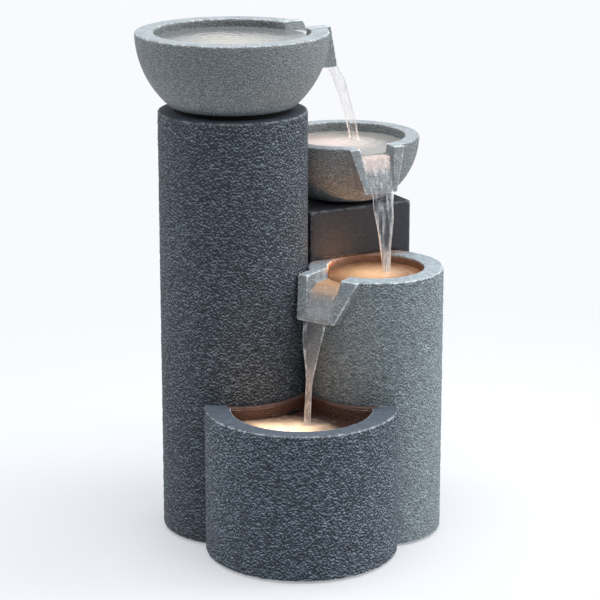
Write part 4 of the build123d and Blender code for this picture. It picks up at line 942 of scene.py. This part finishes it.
def pool(name, centre, level, reach, entry, material, rings=40, spokes=180, depth=2.5 * MM):
    """A pool's closed slab of water, rippling out from where a stream enters it."""
    work = bmesh.new()
    shore = work.verts.layers.float.new("shore")
    heart = work.verts.new((centre[0], centre[1], level))
    under = work.verts.new((centre[0], centre[1], level - depth))
    upper = []
    lower = []
    for ring in range(1, rings + 1):
        row = []
        for spoke in range(spokes):
            angle = 2.0 * math.pi * spoke / spokes
            radius = reach(angle) * ring / rings
            x = centre[0] + radius * math.cos(angle)
            y = centre[1] + radius * math.sin(angle)
            vertex = work.verts.new((x, y, level + ripple_height(x, y, entry)))
            vertex[shore] = ring / rings
            row.append(vertex)
            if ring == rings:
                lower.append(work.verts.new((x, y, level - depth)))
        upper.append(row)
    for spoke in range(spokes):
        following = (spoke + 1) % spokes
        work.faces.new((heart, upper[0][spoke], upper[0][following]))
        for near, far in zip(upper, upper[1:]):
            work.faces.new((near[spoke], far[spoke], far[following], near[following]))
        work.faces.new((upper[-1][spoke], lower[spoke], lower[following], upper[-1][following]))
        work.faces.new((under, lower[following], lower[spoke]))
    return water_piece(work, name, material)


# How far the water runs into the walls around it, so that no gap shows
BOWL_SEEP = 1.5 * MM
WALL_SEEP = 0.6 * MM


def round_shore(radius):
    """The same distance to the shore all round."""
    return lambda angle: radius


def circle_exit(point, angle, axis, radius):
    """Distances at which a ray in the plane meets a circle."""
    ray = Vector((math.cos(angle), math.sin(angle), 0.0))
    offset = point - axis
    half = offset.dot(ray)
    inside = half * half - offset.dot(offset) + radius * radius
    if inside <= 0.0:
        return ()
    return (-half - math.sqrt(inside), -half + math.sqrt(inside))


def reservoir_shore(angle):
    """Distance to the reservoir's wall: its round front, or the columns behind."""
    distance = max(circle_exit(POOL_HEART, angle, RESERVOIR_MOUTH, RESERVOIR_OPENING))
    for axis, radius in ((COLUMN_AXIS, COLUMN_LINER), (BASIN_AXIS, BASIN_LINER)):
        hits = [hit for hit in circle_exit(POOL_HEART, angle, axis, radius) if hit > 0.0]
        distance = min([distance, *hits])
    return distance + WALL_SEEP


def lamp_under(node, level, aside=0.0):
    """Where a lamp's light comes up, carried aside by the moving water."""
    place = middle_of(node)
    return Vector((place[0] + aside, place[1], level))


pool(
    "top_water", COLUMN_AXIS, TOP_LEVEL, round_shore(TOP_BOWL_OPENING + BOWL_SEEP), INLET,
    pool_water(
        "top_water", deep=paint(112, 115, 116), lit=paint(150, 150, 143), glow=paint(118, 112, 92),
        lamp=lamp_under("top_lamp_lens", TOP_LEVEL), spread=60.0 * MM, strength=0.35,
        entry=INLET, foam=0.15,
    ),
)
pool(
    "middle_water", MIDDLE_AXIS, MIDDLE_LEVEL, round_shore(MIDDLE_BOWL_OPENING + BOWL_SEEP), TOP_LANDING,
    pool_water(
        "middle_water", deep=paint(136, 136, 132), lit=paint(176, 164, 159), glow=paint(180, 154, 146),
        lamp=lamp_under("middle_lamp_lens", MIDDLE_LEVEL, -14.0 * MM), spread=50.0 * MM, strength=0.62,
        entry=TOP_LANDING, foam=0.3,
    ),
)
pool(
    "basin_water", BASIN_AXIS, BASIN_LEVEL, round_shore(BASIN_RADIUS + WALL_SEEP), MIDDLE_LANDING,
    pool_water(
        "basin_water", deep=paint(140, 98, 70), lit=paint(190, 154, 119), glow=paint(240, 188, 140),
        lamp=lamp_under("basin_lamp_lens", BASIN_LEVEL, -4.0 * MM), spread=40.0 * MM, strength=0.62,
        entry=MIDDLE_LANDING, foam=0.15, fade=0.35,
    ),
)
pool(
    "reservoir_water", POOL_HEART, RESERVOIR_LEVEL, reservoir_shore, BASIN_LANDING,
    pool_water(
        "reservoir_water", deep=paint(64, 44, 38), lit=paint(190, 162, 136), glow=paint(252, 214, 176),
        lamp=lamp_under("reservoir_lamp_lens", RESERVOIR_LEVEL, -9.0 * MM), spread=60.0 * MM, strength=2.8,
        entry=BASIN_LANDING, foam=0.15, fade=0.5,
    ),
)

# Streaks and flecks of the falling water, in waves to the metre, drawn out along its fall
STREAKS = 0.35 / MM
STREAKS_STRETCH = (1.0, 1.0, 0.12)
STREAKS_WEIGHT = 1.7
STREAKS_BUMP = 0.8 * MM
FLECKS = 0.9 / MM
FLECKS_STRETCH = (1.0, 1.0, 0.3)
FLECKS_WEIGHT = 0.6

# Looks of the falling water, first where it is clear, then where it is white
WHITE_SHARES = (0.05, 0.95)
WATER_COLOURS = (paint(196, 204, 210), paint(246, 248, 250))
WATER_SHINES = (paint(30, 30, 30), paint(120, 120, 120))
SHINE_STRENGTH = 0.5
STREAM_ROUGHNESS = 0.12
CLEAR_COVER = 0.05
WHITE_COVER = 0.6
POOL_GLOW_COVER = 0.7


def falling_water(name, pool_tint_and_glow, bright_edge, milky):
    """Falling water: coloured like its lamp-lit pool to the spill, with that colour also glowing as painted
    lamp light, then clear, white along edges and streaks.
    """
    f = Finish(name)
    pool_glow_share = f.attribute("pool_glow_share")
    streak = f.noise(STREAKS, 2.0, STREAKS_STRETCH)
    fleck = f.noise(FLECKS, 2.0, FLECKS_STRETCH)
    edge = f.attribute("edge") * bright_edge
    streaks = streak.swing(STREAKS_WEIGHT)
    white = (milky + edge + streaks + fleck.swing(FLECKS_WEIGHT)).step(*WHITE_SHARES)
    colour = f.mix(white, *WATER_COLOURS)
    shine = f.mix(white, *WATER_SHINES)
    return f.surface(
        Base_Color=f.mix(pool_glow_share, colour, pool_tint_and_glow),
        Roughness=STREAM_ROUGHNESS,
        IOR=WATER_IOR,
        Alpha=(CLEAR_COVER + white * WHITE_COVER + pool_glow_share * POOL_GLOW_COVER).clamp(),
        Emission_Color=f.mix(pool_glow_share, shine, pool_tint_and_glow),
        Emission_Strength=SHINE_STRENGTH,
        Normal=f.bump(streak, STREAKS_BUMP, strength=0.5),
    )


# A stream's way from its pool to where it lands
FILM = 1.3 * MM
FILM_AT_SPILL = 0.5
FILM_AT_LIP = 0.4
CHANNEL_SIDE = 1.6 * MM
BEFORE_WEIR = 16.0 * MM
PAST_WEIR = 2.0 * MM
# Share of the pool's colour and painted lamp glow that the water keeps at the spill, and how soon it
# changes
SPILL_POOL_GLOW = 0.75
POOL_GLOW_FADE = 2.5
UNDER_POOL = 2.0 * MM
FIRST_SPEED = 0.35
RUN_STEPS = 8
LIP_STEPS = 10
FALL_STEPS = 90


def stream_spine(spout, level, landing, land_level, half_lip, half_end, meet, aside, landing_glow):
    """Middle line of a stream, with its half width and its share of the pool's colour and painted lamp
    glow, and where it leaves the lip.
    """
    wide = CHANNEL_HALF_TOP - CHANNEL_SIDE
    half_spill = (wide + half_lip) / 2
    before = spout.place(spout.weir - BEFORE_WEIR, 0.0, level - FILM)
    over = spout.place(spout.weir + PAST_WEIR, 0.0, max(level - FILM, spout.rim - WEIR_DEPTH))
    spill = spout.place(spout.spill, 0.0, spout.rim - spout.spill_depth + FILM * FILM_AT_SPILL)
    lip = spout.place(spout.lip, aside, spout.rim - LIP_DROP + FILM * FILM_AT_LIP)
    spine = []
    for start, end, half_start, half_stop, pool_glow_start, pool_glow_end, count in (
        (before, over, wide, wide, 1.0, 1.0, RUN_STEPS),
        (over, spill, wide, half_spill, 1.0, SPILL_POOL_GLOW, RUN_STEPS),
        (spill, lip, half_spill, half_lip, SPILL_POOL_GLOW, 0.0, LIP_STEPS),
    ):
        for number in range(count):
            share = number / count
            pool_glow_share = pool_glow_start + (pool_glow_end - pool_glow_start) * min(1.0, share * POOL_GLOW_FADE)
            spine.append((start.lerp(end, share), half_start + (half_stop - half_start) * share, pool_glow_share))
    fall = lip.z - land_level + UNDER_POOL
    for number in range(FALL_STEPS + 1):
        share = number / FALL_STEPS
        drop = FIRST_SPEED * share + (1.0 - FIRST_SPEED) * share * share
        point = lip.lerp(flat(landing), share)
        point.z = lip.z - fall * drop
        close = ease(drop / meet, 0.0, 1.0)
        # Toward the landing the fall takes on the pool's painted lamp glow, as far as the given share sets.
        spine.append((point, half_lip + (half_end - half_lip) * close, landing_glow * close))
    return spine, len(spine) - FALL_STEPS


# A stream's thickness at its edges and in its middle, in millimetres
BEAD_AT_LIP = 0.9
BEAD_GROWTH = 1.1
SHEET_AT_LIP = 0.8
SHEET_THINNING = 0.35

# How a stream turns from a sheet with beaded edges to a round thread, and how it wobbles
LEAVING_ROWS = 12.0
SECTION_CORNERS = 28
BEAD_SHARPNESS = 4
ROUND_BELOW = 6.0 * MM
ROUND_WHITENESS = 0.6
CHANNEL_WHITENESS = 0.15
WOBBLE = 0.04
WOBBLE_PACE = 0.16
WOBBLE_TURN = 2.0


def stream(
    name, spout, level, landing, land_level, half_lip, half_end, meet, pool_tint_and_glow, bright_edge,
    milky=0.14, aside=0.0, landing_glow=0.0,
):
    """Water that runs over a weir and down its channel, then falls in a narrowing sheet."""
    spine, leaves = stream_spine(
        spout, level, landing, land_level, half_lip, half_end, meet, aside, landing_glow
    )
    work = bmesh.new()
    whiteness = work.verts.layers.float.new("edge")
    pool_glow_layer = work.verts.layers.float.new("pool_glow_share")
    rows = []
    for index, (point, half, pool_glow_share) in enumerate(spine):
        ahead = spine[min(index + 1, len(spine) - 1)][0]
        behind = spine[max(index - 1, 0)][0]
        face = spout.side.cross((ahead - behind).normalized()).normalized()
        falling = ease(float(index - leaves), 0.0, LEAVING_ROWS)
        bead = (BEAD_AT_LIP + BEAD_GROWTH * falling) * MM
        sheet = (SHEET_AT_LIP - SHEET_THINNING * falling) * MM
        narrow = 1.0 - ease(half, half_end, ROUND_BELOW) if half_end < ROUND_BELOW else 0.0
        sheet += (bead - sheet) * narrow
        row = []
        for corner in range(SECTION_CORNERS):
            angle = 2.0 * math.pi * corner / SECTION_CORNERS
            edge = abs(math.cos(angle)) ** BEAD_SHARPNESS
            thick = sheet + (bead - sheet) * edge
            wobble = 1.0 + WOBBLE * math.sin(index * WOBBLE_PACE + WOBBLE_TURN * math.cos(angle))
            across = spout.side * (half * math.cos(angle) * wobble)
            through = face * (thick * math.sin(angle) * wobble)
            vertex = work.verts.new(point + across + through)
            bright = max(edge, narrow * ROUND_WHITENESS)
            vertex[whiteness] = bright * falling + (1.0 - falling) * CHANNEL_WHITENESS
            vertex[pool_glow_layer] = pool_glow_share
            row.append(vertex)
        rows.append(row)
    for first, second in zip(rows, rows[1:]):
        for corner in range(SECTION_CORNERS):
            following = (corner + 1) % SECTION_CORNERS
            work.faces.new((first[corner], first[following], second[following], second[corner]))
    work.faces.new(rows[0])
    work.faces.new(list(reversed(rows[-1])))
    return water_piece(work, name, falling_water(name, pool_tint_and_glow, bright_edge, milky))


# Each stream's tint is its pool's lamp-lit colour, painted on as colour and glow; the basin stream's lower
# fall also gets the reservoir's painted warm lamp glow.
stream(
    "top_stream", TOP_SPOUT, TOP_LEVEL, TOP_LANDING, MIDDLE_LEVEL,
    half_lip=9.5 * MM, half_end=6.5 * MM, meet=1.0, pool_tint_and_glow=paint(170, 172, 172), bright_edge=0.5,
)
stream(
    "middle_stream", MIDDLE_SPOUT, MIDDLE_LEVEL, MIDDLE_LANDING, BASIN_LEVEL,
    half_lip=9.4 * MM, half_end=3.4 * MM, meet=1.0, pool_tint_and_glow=paint(184, 168, 162), bright_edge=0.6,
)
stream(
    "basin_stream", BASIN_SPOUT, BASIN_LEVEL, BASIN_LANDING, RESERVOIR_LEVEL,
    half_lip=10.2 * MM, half_end=2.8 * MM, meet=0.62, pool_tint_and_glow=paint(172, 138, 108), bright_edge=0.5,
    milky=-0.02, aside=-3.0 * MM, landing_glow=0.28,
)

# Studio, in metres
BACKDROP = paint(249, 250, 254)
BACKDROP_RAYS = ("Is Camera Ray", "Is Glossy Ray", "Is Transmission Ray")
FLOOR_HALF = 6.0
FLOOR_COLOUR = paint(226, 229, 234)
FLOOR_SPECKS = 60.0
FLOOR_SHADE = 0.6
SHADE_REACH = (0.2, 0.75)
ROOM_COLOUR = (0.9, 0.95, 1.0, 1.0)
ROOM_STRENGTH = 0.28
LIGHT_TARGET = (0.0, 0.0, 0.2)
GLOW_LIFT = 2.0 * MM


def shows_backdrop(tree):
    """1 for rays from the camera, off gloss and through water, which show the backdrop white."""
    straight, glossy, through = (make(tree, "ShaderNodeLightPath", out=ray) for ray in BACKDROP_RAYS)
    return (straight + glossy + through).clamp()


def pale_floor(name):
    """Looks pale to the camera and in reflections, and keeps some shadow near the object."""
    f = Finish(name)
    reach = f.node("ShaderNodeVectorMath", {"operation": "LENGTH"}, {0: f.place}, out="Value")
    away = reach.step(*SHADE_REACH)
    colour = f.tone(FLOOR_COLOUR, 0.99 + f.noise(FLOOR_SPECKS) * 0.02)
    matt = f.node(
        "ShaderNodeBsdfPrincipled",
        {},
        {"Base Color": colour, "Roughness": 1.0, "Specular IOR Level": 0.0},
    )
    bright = f.node("ShaderNodeEmission", {}, {"Color": BACKDROP, "Strength": 1.0})
    share = shows_backdrop(f.tree) * (1.0 - FLOOR_SHADE * (1.0 - away))
    both = f.node("ShaderNodeMixShader", {}, {0: share, 1: matt, 2: bright})
    f.node("ShaderNodeOutputMaterial", {}, {"Surface": both})
    return f.material


def floor():
    """A wide plain floor under the fountain."""
    half = FLOOR_HALF
    corners = [(-half, -half, 0), (half, -half, 0), (half, half, 0), (-half, half, 0)]
    mesh = bpy.data.meshes.new("floor")
    mesh.from_pydata(corners, [], [(0, 1, 2, 3)])
    mesh.materials.append(pale_floor("pale_floor"))
    keep(bpy.data.objects.new("floor", mesh))


def studio_world():
    """Soft light from all round, and a white backdrop."""
    world = bpy.data.worlds.new("studio")
    bpy.context.scene.world = world
    world.use_nodes = True
    tree = world.node_tree
    tree.nodes.clear()
    room = make(tree, "ShaderNodeBackground", {}, {"Color": ROOM_COLOUR, "Strength": ROOM_STRENGTH})
    white = make(tree, "ShaderNodeBackground", {}, {"Color": BACKDROP, "Strength": 1.0})
    both = make(tree, "ShaderNodeMixShader", {}, {0: shows_backdrop(tree), 1: room, 2: white})
    make(tree, "ShaderNodeOutputWorld", {}, {"Surface": both})


def soft_box(name, place, width, height, power):
    """A studio lamp turned to the fountain, sizes in metres and power in watts."""
    light = bpy.data.lights.new(name, "AREA")
    light.shape = "RECTANGLE"
    light.size = width
    light.size_y = height
    light.energy = power
    obj = keep(bpy.data.objects.new(name, light))
    obj.location = place
    obj.rotation_euler = (Vector(LIGHT_TARGET) - Vector(place)).to_track_quat("-Z", "Y").to_euler()


def water_glow(name, node, level, radius, power, colour, aside=0.0):
    """Lamp light leaving the water: a soft disc that shines up from just above the surface."""
    light = bpy.data.lights.new(name, "AREA")
    light.shape = "DISK"
    light.size = 2.0 * radius
    light.energy = power
    light.color = colour[:3]
    obj = keep(bpy.data.objects.new(name, light))
    obj.location = lamp_under(node, level + GLOW_LIFT, aside)
    obj.rotation_euler = (math.pi, 0.0, 0.0)
    obj.visible_camera = False
    obj.visible_glossy = False


def studio_camera():
    """The camera at the photograph's viewing angle."""
    camera = keep(bpy.data.objects.new("camera", bpy.data.cameras.new("camera")))
    camera.location = CAMERA_PLACE
    camera.rotation_euler = (math.pi / 2 - CAMERA_PITCH, 0.0, 0.0)
    camera.data.lens = CAMERA_LENS
    camera.data.sensor_width = SENSOR_WIDTH
    bpy.context.scene.camera = camera


floor()
studio_world()
soft_box("overhead", place=(0.2, 0.0, 1.7), width=1.5, height=1.5, power=34.0)
soft_box("right", place=(1.65, 0.15, 0.7), width=0.7, height=1.4, power=15.0)
soft_box("left", place=(-1.6, 0.5, 0.6), width=0.6, height=1.2, power=8.0)

AMBER = paint(255, 178, 108)
ROSE = paint(255, 214, 190)
water_glow("middle_glow", "middle_lamp_lens", MIDDLE_LEVEL, radius=26.0 * MM, power=0.015, colour=ROSE)
water_glow(
    "basin_glow", "basin_lamp_lens", BASIN_LEVEL,
    radius=10.0 * MM, power=0.033, colour=AMBER, aside=-24.0 * MM,
)
water_glow(
    "reservoir_glow", "reservoir_lamp_lens", RESERVOIR_LEVEL,
    radius=12.0 * MM, power=0.034, colour=AMBER, aside=-20.0 * MM,
)

studio_camera()
bpy.context.scene.view_settings.view_transform = "Standard"
